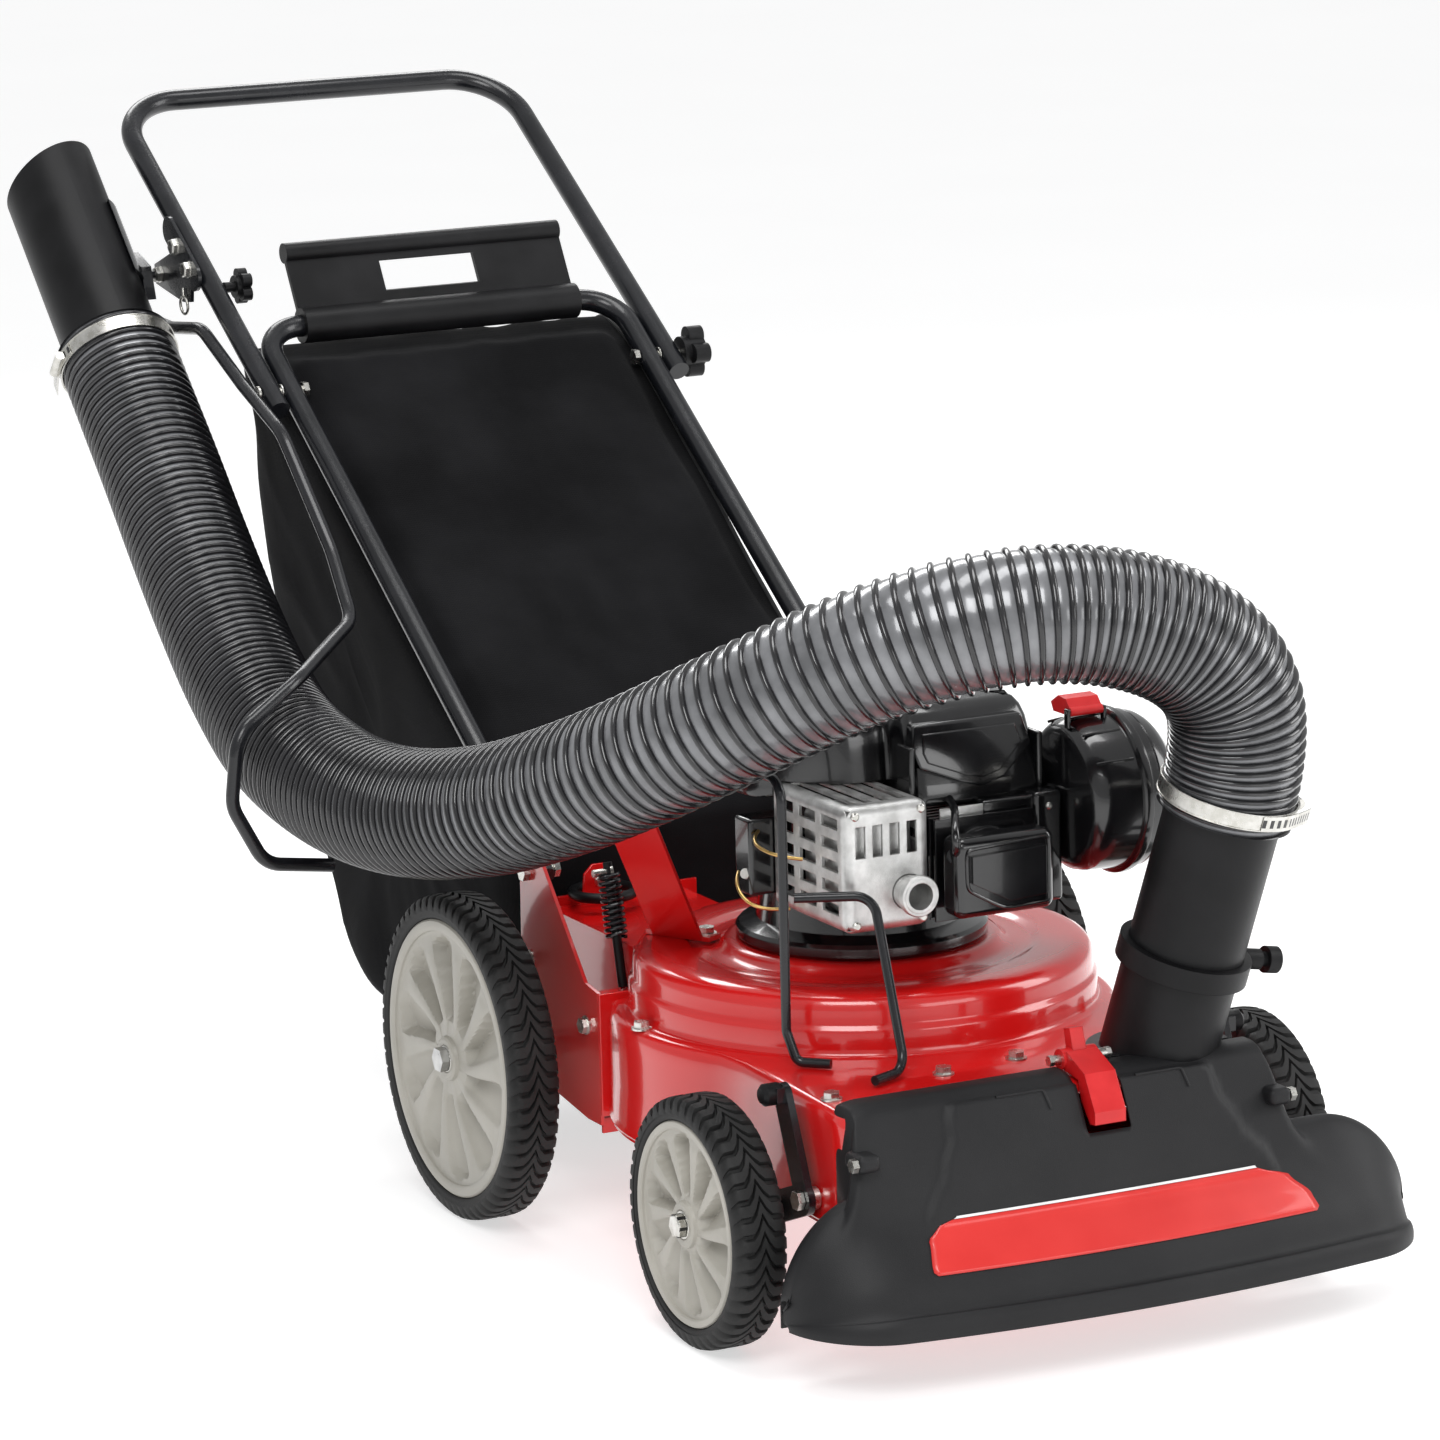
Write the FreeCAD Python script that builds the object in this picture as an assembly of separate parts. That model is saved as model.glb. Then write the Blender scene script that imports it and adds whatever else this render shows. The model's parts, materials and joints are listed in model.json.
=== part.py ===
import FreeCAD, Part
import math
import os

# A walk-behind leaf vacuum and mulcher with a stored suction hose and wand.
#
# Machine axes, in millimetres: X runs across the machine, +Y to the rear, where the operator
# stands, and +Z up from the ground. The front axle is at Y = 0 and the machine's centre plane
# is X = 0. "right" and "left" are the operator's, so the right side is at negative X.
# Every sub-part is drawn in these axes and moved to the row's origin when it is exported.

V = FreeCAD.Vector

# ---------------------------------------------------------------- driving dimensions

ORIGIN_X = -50.1            # the row's origin: the middle of the machine's box, on the ground
ORIGIN_Y = 547.2

FRONT_WHEEL_R = 101.6       # 8 in wheels
REAR_WHEEL_R = 139.7        # 11 in wheels
FRONT_RIM_R = 83.0
REAR_RIM_R = 119.5
WHEEL_W = 45.0
WHEELBASE = 429.0
FRONT_TRACK_OUT = 272.0     # centre plane to a front wheel's outer face
REAR_TRACK_OUT = 281.0
AXLE_R = 6.35
RUN_GAP = 0.05              # radial clearance of a shaft in its bore
FACE_GAP = 0.4              # end float between a turning face and a fixed one
SPOKES = 10

SHEET = 3.0                 # steel sheet
DRUM_X, DRUM_Y = 0.0, 200.0  # the crankshaft's axis
DRUM_R = 195.0              # raised impeller drum
PAN_R = 212.0               # lower pan and its flange
PAN_Z0, FLANGE_Z = 112.0, 206.0
DRUM_Z = 256.0
DECK_Z = 262.0              # the engine's seat
DUCT_X = 190.0              # half the width of the intake duct at its front
DUCT_WAIST_X = 182.0
DUCT_Y0 = -125.0

NOZZLE_X = 281.0            # half the width of the intake nozzle
NOZZLE_MID_X = 31.0         # the nozzle reaches further out on its left side
NOZZLE_NECK_X = 195.5
NOZZLE_WALL = 3.5
NOZZLE_Z0 = 47.0
NOZZLE_FRONT_Y = -228.0
NOZZLE_BOW_R = 1400.0       # the nozzle's front is bowed in plan

ENGINE_BASE_R = 105.0
CYL_X, CYL_Z = 28.0, 345.0  # the engine's single cylinder points forward
BLOWER_R = 118.0
BLOWER_Z0, BLOWER_Z1 = 396.0, 474.0
DIPSTICK = (112.0, 232.0)        # X, Y of the oil filler
FILTER_Y, FILTER_Z, FILTER_R = 50.0, 393.0, 66.0

TUBE_R = 10.0               # handle tube, 20 mm
LOWER_X = 181.5             # centre line of the lower handle's legs
UPPER_X = 203.0             # centre line of the upper handle's legs
LOWER_FOOT = (432.0, 285.0)      # Y, Z of the lower handle's foot
LOWER_SLOPE = math.radians(34.3)
PIVOT = (948.0, 637.0)           # Y, Z of the fold
UPPER_SLOPE = math.radians(32.8)
UPPER_LEN = 428.0                # fold to grip bar
CROSS_Y = 1018.0                 # the lower handle's top tube
BRACKET_X = 191.8                # inner face of the rear brackets
BAG_X = 188.0                    # half the bag's width

PORT_BASE = V(118.0, -80.0, 209.0)
PORT_DIR = V(0.163, -0.230, 0.959).normalize()
PORT_R = 47.0
PIPE_WALL = 3.5
HOSE_R = 55.0
HOSE_BORE_R = 50.0

WAND_X = -284.0
WAND_R = 46.0
WAND_SLOPE = math.radians(43.5)
WAND_MID = (1208.0, 742.0)       # Y, Z of a point on the wand's axis
WAND_TOP, WAND_LOW = 92.0, -150.0
HOSE_END = -112.0                # where the hose stops on the wand

ROD_R = 6.0                 # hose support rod
GUARD_R = 4.0               # wire of the muffler guard

# The hose's route, from the adapter over the engine, round the right rear wheel and up to the wand.
HOSE_ROUTE = [
    (151.84, -127.74, 408.07), (163.01, -143.50, 473.79), (136.0, -146.0, 540.0), (62.0, -126.0, 577.0),
    (-32.0, -94.0, 581.0), (-122.0, -34.0, 548.0), (-203.0, 50.0, 489.0), (-258.0, 170.0, 426.0),
    (-291.0, 330.0, 370.0), (-312.0, 500.0, 347.0), (-322.0, 650.0, 368.0), (-314.0, 758.0, 411.0),
    (-306.0, 842.0, 458.0), (-298.0, 925.0, 512.0), (-290.0, 1005.0, 568.0), (-284.0, 1078.16, 618.78),
    (-284.0, 1126.76, 664.90),
]


# ---------------------------------------------------------------- helpers

def box(x0, x1, y0, y1, z0, z1):
    return Part.makeBox(x1 - x0, y1 - y0, z1 - z0, V(x0, y0, z0))


def rod(a, b, r):
    """A round bar from point a to point b."""
    a, b = V(*a), V(*b)
    return Part.makeCylinder(r, (b - a).Length, a, b - a)


def pipe(a, b, r_out, r_in):
    return rod(a, b, r_out).cut(rod(a, b, r_in))


def hexagon(a, b, across_flats):
    """A hexagonal bar from a to b."""
    a, b = V(*a), V(*b)
    axis = (b - a).normalize()
    side = axis.cross(V(0, 0, 1))
    if side.Length < 0.1:
        side = V(1, 0, 0)
    side.normalize()
    up = axis.cross(side)
    r = across_flats / math.sqrt(3.0)
    corners = []
    for k in range(7):
        angle = math.radians(60.0 * k)
        corners.append(a + side * (r * math.cos(angle)) + up * (r * math.sin(angle)))
    return Part.Face(Part.makePolygon(corners)).extrude(b - a)


def prism(points, vector):
    """A closed outline of 3-D points, extruded along a vector."""
    points = [V(*p) for p in points]
    return Part.Face(Part.makePolygon(points + points[:1])).extrude(vector)


def prism_x(outline, x0, x1):
    return prism([(x0, y, z) for y, z in outline], V(x1 - x0, 0, 0))


def prism_y(outline, y0, y1):
    return prism([(x, y0, z) for x, z in outline], V(0, y1 - y0, 0))


def prism_z(outline, z0, z1):
    return prism([(x, y, z0) for x, y in outline], V(0, 0, z1 - z0))


def turned(profile, centre, axis, radial):
    """A profile of (distance along axis, radius) pairs, turned about the axis through centre."""
    centre, axis, radial = V(*centre), V(*axis), V(*radial)
    points = [centre + axis * a + radial * r for a, r in profile]
    return Part.Face(Part.makePolygon(points + points[:1])).revolve(centre, axis, 360)


def bar_plate(p, q, r, x0, x1):
    """A flat bar in the YZ plane with round ends at p and q."""
    dy, dz = q[0] - p[0], q[1] - p[1]
    length = math.hypot(dy, dz)
    ny, nz = -dz / length * r, dy / length * r
    middle = prism_x([(p[0] + ny, p[1] + nz), (q[0] + ny, q[1] + nz),
                      (q[0] - ny, q[1] - nz), (p[0] - ny, p[1] - nz)], x0, x1)
    ends = [rod((x0, y, z), (x1, y, z), r) for y, z in (p, q)]
    return fuse([middle] + ends)


def fuse(shapes):
    shapes = list(shapes)
    return shapes[0].multiFuse(shapes[1:]).removeSplitter()


def cut(shape, *tools):
    for tool in tools:
        shape = shape.cut(tool)
    return shape


def path(points, radii):
    """Straight runs joined by tangent arcs; radii has one radius for each inner point."""
    points = [V(*p) for p in points]
    edges = []
    start = points[0]
    for i in range(1, len(points) - 1):
        a = (points[i - 1] - points[i]).normalize()
        b = (points[i + 1] - points[i]).normalize()
        half_turn = (math.pi - a.getAngle(b)) / 2.0
        radius = radii[i - 1]
        reach = radius * math.tan(half_turn)
        bisector = (a + b).normalize()
        centre = points[i] + bisector * (radius / math.cos(half_turn))
        enter, leave = points[i] + a * reach, points[i] + b * reach
        edges.append(Part.LineSegment(start, enter).toShape())
        edges.append(Part.Arc(enter, centre - bisector * radius, leave).toShape())
        start = leave
    edges.append(Part.LineSegment(start, points[-1]).toShape())
    return Part.Wire(edges)


def sweep(wire, r):
    first = wire.Edges[0]
    start, end = first.Vertexes[0].Point, first.Vertexes[-1].Point
    ring = Part.Wire([Part.makeCircle(r, start, end - start)])
    return wire.makePipeShell([ring], True, False)


def bent_bar(points, radii, r):
    return sweep(path(points, radii), r)


def route_radii(points):
    """The widest arc at each inner point: 0.45 of the shorter run over the tangent of half the turn."""
    points = [V(*p) for p in points]
    radii = []
    for i in range(1, len(points) - 1):
        a, b = points[i - 1] - points[i], points[i + 1] - points[i]
        half_turn = (math.pi - a.getAngle(b)) / 2.0
        radii.append(0.45 * min(a.Length, b.Length) / math.tan(half_turn))
    return radii


def along(point, slope, distance):
    """A (Y, Z) point moved along a slope in the YZ plane."""
    return point[0] + distance * math.cos(slope), point[1] + distance * math.sin(slope)


# ---------------------------------------------------------------- wheels and axles

def wheel_rim(side, axle_y, axle_r_z, rim_r, out_x):
    """Dished plastic rim: barrel, web with swept pockets, and hub."""
    centre, axis, radial = (side * out_x, axle_y, axle_r_z), (-side, 0, 0), (0, 0, 1)
    bore = AXLE_R + RUN_GAP
    barrel = turned([(2, rim_r - 7), (2, rim_r), (WHEEL_W - 2, rim_r), (WHEEL_W - 2, rim_r - 7)],
                    centre, axis, radial)
    web = turned([(1, bore), (5, rim_r - 6), (12, rim_r - 6), (9, bore)], centre, axis, radial)
    hub = turned([(0, bore), (0, 15), (3, 20), (WHEEL_W - 3, 18), (WHEEL_W, 15), (WHEEL_W, bore)],
                 centre, axis, radial)
    rim = fuse([barrel, web, hub])
    face_x = side * out_x
    for k in range(SPOKES):
        start_angle = math.radians(360.0 * k / SPOKES)
        end_angle = start_angle + math.radians(14.0)
        inner, outer = rim_r * 0.36, rim_r * 0.78
        p = (axle_y + inner * math.cos(start_angle), axle_r_z + inner * math.sin(start_angle))
        q = (axle_y + outer * math.cos(end_angle), axle_r_z + outer * math.sin(end_angle))
        rim = rim.cut(bar_plate(p, q, rim_r * 0.075, face_x + side, face_x - side * 6.0))
    return rim


def wheel_tyre(side, axle_y, axle_z, rim_r, wheel_r, out_x):
    inner = rim_r + RUN_GAP
    return turned([(3, inner), (0, inner + 6), (0, wheel_r - 12), (3, wheel_r - 4), (9, wheel_r),
                   (WHEEL_W - 9, wheel_r), (WHEEL_W - 3, wheel_r - 4), (WHEEL_W, wheel_r - 12),
                   (WHEEL_W, inner + 6), (WHEEL_W - 3, inner)],
                  (side * out_x, axle_y, axle_z), (-side, 0, 0), (0, 0, 1))


ARM_PIVOT = (-73.0, 130.0)       # Y, Z
ARM_TOP = (-40.0, 206.0)
ARM_X0, ARM_X1 = 197.0, 203.0


def front_arm(side):
    """Height lever: a flat plate that swings on its pivot and carries the wheel's stub axle."""
    x0, x1 = side * ARM_X0, side * ARM_X1
    axle = (0.0, FRONT_WHEEL_R)
    plate = fuse([bar_plate(ARM_PIVOT, axle, 13.0, x0, x1), bar_plate(ARM_PIVOT, ARM_TOP, 11.0, x0, x1)])
    plate = plate.cut(rod((x0, *ARM_PIVOT), (x1, *ARM_PIVOT), 5.0 + RUN_GAP))
    inner_face = side * (FRONT_TRACK_OUT - WHEEL_W - FACE_GAP)
    outer_face = side * (FRONT_TRACK_OUT + FACE_GAP)
    stub = rod((x1, *axle), (outer_face, *axle), AXLE_R)
    collar = rod((x1, *axle), (inner_face, *axle), 10.0)
    head = hexagon((outer_face, *axle), (outer_face + side * 6.0, *axle), 17.0)
    grip = box(min(x1, x1 + side * 7.0), max(x1, x1 + side * 7.0),
               ARM_TOP[0] - 9.0, ARM_TOP[0] + 9.0, ARM_TOP[1] - 3.0, ARM_TOP[1] + 9.0)
    return fuse([plate, stub, collar, head, grip])


def rear_axle():
    y, z = WHEELBASE, REAR_WHEEL_R
    face = REAR_TRACK_OUT + FACE_GAP
    shaft = rod((-face, y, z), (face, y, z), AXLE_R)
    parts = [shaft]
    for side in (-1, 1):
        inner = REAR_TRACK_OUT - WHEEL_W - FACE_GAP
        parts.append(rod((side * (BRACKET_X + 3.2), y, z), (side * inner, y, z), 10.5))
        parts.append(hexagon((side * face, y, z), (side * (face + 7.0), y, z), 19.0))
    return fuse(parts)


# ---------------------------------------------------------------- impeller housing

def pan_outline(inset, z0, z1, front_y):
    """The pan in plan: a round drum whose sides run forward into the intake duct."""
    disc = rod((DRUM_X, DRUM_Y, z0), (DRUM_X, DRUM_Y, z1), PAN_R - inset)
    waist_y = DRUM_Y - math.sqrt(PAN_R ** 2 - DUCT_WAIST_X ** 2)
    front = DUCT_X - inset
    waist = DUCT_WAIST_X - inset
    duct = prism_z([(-front, front_y), (front, front_y), (waist, waist_y), (waist, DRUM_Y),
                    (-waist, DRUM_Y), (-waist, waist_y)], z0, z1)
    return fuse([disc, duct])


OUTLET_X0, OUTLET_X1 = -150.0, -24.0
OUTLET_Z0, OUTLET_Z1 = 156.0, 240.0


def impeller_housing():
    outer = pan_outline(0.0, PAN_Z0, FLANGE_Z, DUCT_Y0)
    inner = pan_outline(SHEET, PAN_Z0 - 1.0, FLANGE_Z - SHEET, DUCT_Y0 - 1.0)
    pan = outer.cut(inner)
    seat = ENGINE_BASE_R + 7.0
    up, out = (0, 0, 1), (1, 0, 0)
    skin = [(FLANGE_Z - SHEET, DRUM_R), (DRUM_Z - 10, DRUM_R), (DRUM_Z - 3, DRUM_R - 3), (DRUM_Z, DRUM_R - 10),
            (DRUM_Z, seat + 4), (DECK_Z, seat), (DECK_Z, 20.0)]
    lining = [(DECK_Z - SHEET, 20.0), (DECK_Z - SHEET, seat - 1), (DRUM_Z - SHEET, seat + 3),
              (DRUM_Z - SHEET, DRUM_R - 11), (DRUM_Z - 5, DRUM_R - 6),
              (DRUM_Z - 11, DRUM_R - SHEET), (FLANGE_Z - SHEET, DRUM_R - SHEET)]
    drum = turned(skin + lining, (DRUM_X, DRUM_Y, 0), up, out)
    mouth = rod((DRUM_X, DRUM_Y, FLANGE_Z - SHEET - 1), (DRUM_X, DRUM_Y, FLANGE_Z + 1), DRUM_R - SHEET)
    window = box(OUTLET_X0, OUTLET_X1, DRUM_Y + 90.0, DRUM_Y + PAN_R + 5.0, OUTLET_Z0, OUTLET_Z1)
    housing = fuse([pan.cut(mouth), drum]).cut(window)
    port_hole = rod(PORT_BASE - PORT_DIR * 20.0, PORT_BASE + PORT_DIR * 30.0, PORT_R - PIPE_WALL)
    housing = housing.cut(port_hole)
    for side in (-1, 1):
        housing = housing.cut(rod((side * 180.0, *ARM_PIVOT), (side * 195.0, *ARM_PIVOT), 5.0))
    return housing


def housing_floor():
    floor = pan_outline(0.0, PAN_Z0 - SHEET, PAN_Z0, DUCT_Y0)
    ribs = [box(-150.0, 150.0, y, y + 12.0, PAN_Z0 - SHEET - 4.0, PAN_Z0 - SHEET) for y in (110.0, 194.0, 278.0)]
    return fuse([floor] + ribs)


def discharge_chute():
    """Rectangular duct from the drum's rear window to the bag's mouth."""
    rear_y = 486.0
    front_y = DRUM_Y + 100.0
    shell = box(OUTLET_X0 - SHEET, OUTLET_X1 + SHEET, front_y, rear_y, OUTLET_Z0 - SHEET, OUTLET_Z1 + SHEET)
    hollow = box(OUTLET_X0, OUTLET_X1, front_y - 1.0, rear_y + 1.0, OUTLET_Z0, OUTLET_Z1)
    lower = rod((DRUM_X, DRUM_Y, 0), (DRUM_X, DRUM_Y, FLANGE_Z + 0.3), PAN_R + 0.3)
    upper = rod((DRUM_X, DRUM_Y, 0), (DRUM_X, DRUM_Y, 400.0), DRUM_R + 0.3)
    lip = box(OUTLET_X0 - 12.0, OUTLET_X1 + 12.0, rear_y - SHEET, rear_y, OUTLET_Z0 - 12.0, OUTLET_Z1 + 12.0)
    return cut(fuse([shell, lip]), hollow, lower, upper)


def rear_bracket(side):
    """Side plate that carries the rear axle and the foot of the handle."""
    x0, x1 = side * BRACKET_X, side * (BRACKET_X + 3.2)
    plate = prism_x([(305, 98), (330, 98), (445, 115), (456, 150), (452, 300), (434, 312), (408, 302),
                     (330, 216), (305, 212)], x0, x1)
    foot = box(min(x0, side * 168.0), max(x0, side * 168.0), 306.0, 324.0, FLANGE_Z, FLANGE_Z + SHEET)
    plate = fuse([plate, foot])
    axle_hole = rod((side * 180, WHEELBASE, REAR_WHEEL_R), (side * 200, WHEELBASE, REAR_WHEEL_R), AXLE_R)
    y, z = along(LOWER_FOOT, LOWER_SLOPE, 8.0)
    bolt_hole = rod((side * 180, y, z), (side * 200, y, z), 4.0)
    return cut(plate, axle_hole, bolt_hole)


def axle_tie_bar():
    reach = BRACKET_X
    bar = box(-reach, reach, 308.0, 326.0, 98.0, 103.0)
    return fuse([bar, box(-reach, reach, 308.0, 311.0, 90.0, 98.0)])


BRACE_AT = (-122.0, 287.0)       # X, Y of the brace's foot
BRACE_TURN = -60.6               # its long side's direction, degrees from +X
BRACE_BOLTS = (-23.0, 23.0)


def deck_brace():
    """Flat strap on a bolted foot, leaning out towards the hose."""
    foot = box(-32.0, 32.0, -10.0, 8.0, 0.0, 4.0)
    strap = prism_x([(-10, 0), (-6.5, 0), (-6.5 - 82.0, 142.0), (-10 - 82.0, 142.0)], -25.0, 25.0)
    brace = fuse([foot, strap])
    for x in BRACE_BOLTS:
        brace = brace.cut(rod((x, 0.0, -1.0), (x, 0.0, 6.0), 4.1))
    brace.rotate(V(0, 0, 0), V(0, 0, 1), BRACE_TURN)
    brace.translate(V(*BRACE_AT, DRUM_Z + 0.2))
    return brace


def bolt_head(x, y, z, across=12.0, height=6.5):
    washer = rod((x, y, z), (x, y, z + 1.6), across * 0.72)
    return fuse([washer, hexagon((x, y, z + 1.6), (x, y, z + height), across)])


def deck_bolts():
    """Hexagon-head screws of the deck, the nozzle and the height levers' pivots."""
    bolts = []
    for x, y in ((-204.3, 203.0), (204.3, 203.0), (178.0, 60.0), (-173.0, -70.0), (-62.0, -50.0), (10.0, -40.0)):
        bolts.append(bolt_head(x, y, FLANGE_Z))
    turn = math.radians(BRACE_TURN)
    for x in BRACE_BOLTS:
        bolts.append(bolt_head(BRACE_AT[0] + x * math.cos(turn), BRACE_AT[1] + x * math.sin(turn), DRUM_Z + 4.2))
    for side in (-1, 1):
        wall = side * (DUCT_X - 4.0)
        shank = rod((wall, *ARM_PIVOT), (side * (ARM_X1 + FACE_GAP), *ARM_PIVOT), 5.0)
        spacer = rod((side * (DUCT_X + 0.1), *ARM_PIVOT), (side * (ARM_X0 - FACE_GAP), *ARM_PIVOT), 9.0)
        head = hexagon((side * (ARM_X1 + FACE_GAP), *ARM_PIVOT), (side * (ARM_X1 + 6.0), *ARM_PIVOT), 14.0)
        bolts.append(fuse([shank, spacer, head]))
        for y, z in ((436.0, 214.0), (328.0, 180.0)):
            face = BRACKET_X + 3.2
            bolts.append(fuse([hexagon((side * face, y, z), (side * (face + 6.0), y, z), 12.0),
                               rod((side * face, y, z), (side * (face + 1.5), y, z), 8.0)]))
        neck = side * NOZZLE_NECK_X
        bolts.append(hexagon((neck, -152.0, 176.0), (neck + side * 5.0, -152.0, 176.0), 10.0))
    return Part.makeCompound(bolts)


# ---------------------------------------------------------------- intake nozzle

def nozzle_solid(inset):
    """The nozzle's outer form, or its inner form when inset is the wall's thickness."""
    front = NOZZLE_FRONT_Y + inset
    z0 = NOZZLE_Z0 - (1.0 if inset else 0.0)
    flare_side = [(-124 - inset, z0), (-124 - inset, 132 - inset), (-127 - inset, 142 - inset),
                  (-134, 150 - inset), (-146 + inset, 146 - inset), (-172 + inset, 124 - inset),
                  (-205 + inset, 89 - inset), (front + 4, 64 - inset), (front, 48), (front, z0)]
    flare = prism_x(flare_side, -NOZZLE_X + inset, NOZZLE_X - inset)
    half = NOZZLE_X - inset
    top = 152.0 - inset
    ends = [(-half, z0), (half, z0), (half, 62)]
    steps = 6
    corner = 82.0
    for k in range(steps + 1):
        angle = math.radians(90.0 * k / steps)
        ends.append((half - corner + corner * math.cos(angle), top - 86.0 + 86.0 * math.sin(angle)))
    ends += [(-x, z) for x, z in reversed(ends[3:])]
    ends.append((-half, 62))
    flare = flare.common(prism_y(ends, -400.0, 0.0))
    bow = rod((0, NOZZLE_FRONT_Y + inset + NOZZLE_BOW_R, z0), (0, NOZZLE_FRONT_Y + inset + NOZZLE_BOW_R, 400.0),
              NOZZLE_BOW_R)
    flare = flare.common(bow)
    corner_r, back_y = 66.0 - inset, -100.0
    front_y = NOZZLE_FRONT_Y + inset + 6.0
    plan = [box(-half + corner_r, half - corner_r, front_y - 10.0, back_y, z0, 400.0),
            box(-half, half, front_y + corner_r, back_y, z0, 400.0)]
    for side in (-1, 1):
        centre = (side * (half - corner_r), front_y + corner_r)
        plan.append(rod((*centre, z0), (*centre, 400.0), corner_r))
    flare = flare.common(fuse(plan))
    flare.translate(V(NOZZLE_MID_X, 0, 0))
    neck_side = [(-96 - inset, 70), (-96 - inset, 214 - inset), (-121, 214 - inset), (-131 + inset, 206 - inset),
                 (-168 + inset, 126 - inset), (-206 + inset, 88 - inset), (-206 + inset, 70)]
    neck = prism_x(neck_side, -NOZZLE_NECK_X + inset, NOZZLE_NECK_X - inset)
    return fuse([flare, neck])


def nozzle():
    shell = nozzle_solid(0.0).cut(nozzle_solid(NOZZLE_WALL))
    duct_space = prism_z([(-190.6, DUCT_Y0 - 0.6), (190.6, DUCT_Y0 - 0.6), (190.6, -60.0), (-190.6, -60.0)],
                         PAN_Z0 - SHEET - 4.6, FLANGE_Z + 0.6)
    shell = shell.cut(duct_space)
    hump = prism([(-105, -132.2, 201.1), (132, -132.2, 201.1), (172, -164.5, 131.1), (-136, -164.5, 131.1)],
                 V(0, -4.1, 1.9))
    shell = shell.fuse(hump)
    seat = box(62.0, 178.0, -128.0, -97.0, FLANGE_Z + 0.6, 213.5)
    shell = shell.fuse(seat)
    port = rod(PORT_BASE - PORT_DIR * 60.0, PORT_BASE + PORT_DIR * 60.0, PORT_R + 0.3)
    slot = box(8.0, 52.0, -152.0, -90.0, 176.0, 216.0)
    return cut(shell, port, slot).removeSplitter()


def nozzle_badge():
    """Plain coloured band with clipped corners on the nozzle's lower slope."""
    slope = V(0, -38.0, -38.0).normalize()
    out = V(0, -1, 1).normalize() * 1.2
    base = V(0, -176.5, 117.6) + out * 0.25
    outline = [(-150, 46), (-146, 16), (-118, 0), (152, 0), (182, 16), (196, 40), (196, 46)]
    points = [base + V(x, 0, 0) + slope * d for x, d in outline]
    badge = Part.Face(Part.makePolygon(points + points[:1])).extrude(out)
    return badge.cut(nozzle_solid(0.0))


LEVER_AXIS = (-102.0, 219.0)     # Y, Z


def diverter_lever():
    """Moulded lever on the diverter's shaft, with a broad foot and a thumb tab."""
    y, z = LEVER_AXIS
    boss = rod((14, y, z), (46, y, z), 8.5)
    arm = prism_x([(y + 4, z - 7), (y - 26, z - 11), (y - 30, z - 26), (y - 44, z - 43), (y - 52, z - 42),
                   (y - 52, z - 32), (y - 36, z - 4), (y - 8, z + 8)], 16.0, 44.0)
    thumb = prism_x([(y - 6, z + 4), (y + 6, z + 4), (y + 10, z + 22), (y + 1, z + 24)], 24.0, 36.0)
    return fuse([boss, arm, thumb]).cut(rod((0, y, z), (70, y, z), 4.0))


def diverter_shaft():
    """Shaft that carries the lever, with a nut on each end."""
    shaft = rod((4.0, *LEVER_AXIS), (60.0, *LEVER_AXIS), 4.0)
    nuts = [hexagon((x, *LEVER_AXIS), (x + 4.0, *LEVER_AXIS), 8.0) for x in (4.0, 56.0)]
    return fuse([shaft] + nuts)


# ---------------------------------------------------------------- hose port, adapter, hose, wand

def on_port(distance):
    return PORT_BASE + PORT_DIR * distance


RING_S0, RING_S1 = 72.0, 90.0     # clamp ring, as distances along the port's axis
ADAPTER_TOP = 240.0


def hose_port():
    """Round stub on the duct's roof, with a bolted flange."""
    tube = pipe(on_port(-34.0), on_port(RING_S1 - 4.0), PORT_R, PORT_R - PIPE_WALL)
    collar = pipe((118.0, -80.0, FLANGE_Z), (118.0, -80.0, FLANGE_Z + 7.0), PORT_R + 11.0, 10.0)
    collar = collar.cut(rod(on_port(-60.0), on_port(60.0), PORT_R - 0.5))
    below = box(0.0, 300.0, -300.0, 100.0, 100.0, FLANGE_Z)
    drum = rod((DRUM_X, DRUM_Y, 0), (DRUM_X, DRUM_Y, 400.0), DRUM_R + 0.5)
    seat_cut = box(50.0, 190.0, -140.0, -95.5, FLANGE_Z, 214.4)
    return fuse([cut(tube, below), cut(collar, seat_cut, drum)])


def port_clamp_ring():
    ring = pipe(on_port(RING_S0), on_port(RING_S1), PORT_R + 7.0, PORT_R + 0.2)
    side = PORT_DIR.cross(V(0, 1, 0)).normalize() * -1.0
    middle = on_port((RING_S0 + RING_S1) / 2.0)
    lug = rod(middle + side * (PORT_R + 4.0), middle + side * (PORT_R + 24.0), 8.5)
    return fuse([ring, lug])


def port_clamp_knob():
    side = PORT_DIR.cross(V(0, 1, 0)).normalize() * -1.0
    middle = on_port((RING_S0 + RING_S1) / 2.0)
    start = middle + side * (PORT_R + 24.0 + FACE_GAP)
    return fuse([rod(start, start + side * 5.0, 6.0), rod(start + side * 5.0, start + side * 16.0, 11.0)])


def hose_adapter():
    """Straight pipe with a spigot inside the port below and a bead inside the hose above."""
    body = pipe(on_port(RING_S1 - 3.0), on_port(ADAPTER_TOP), PORT_R, PORT_R - PIPE_WALL)
    step = pipe(on_port(RING_S1 - 3.0), on_port(RING_S1), PORT_R, PORT_R - 2 * PIPE_WALL)
    spigot = pipe(on_port(RING_S0 - 22.0), on_port(RING_S1), PORT_R - PIPE_WALL - 0.2, PORT_R - 2 * PIPE_WALL)
    bead = pipe(on_port(ADAPTER_TOP - 12.0), on_port(ADAPTER_TOP - 4.0), HOSE_BORE_R, PORT_R - 1.0)
    return fuse([body, step, spigot, bead])


def hose():
    wire = path(HOSE_ROUTE, route_radii(HOSE_ROUTE))
    return sweep(wire, HOSE_R).cut(sweep(wire, HOSE_BORE_R))


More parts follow.
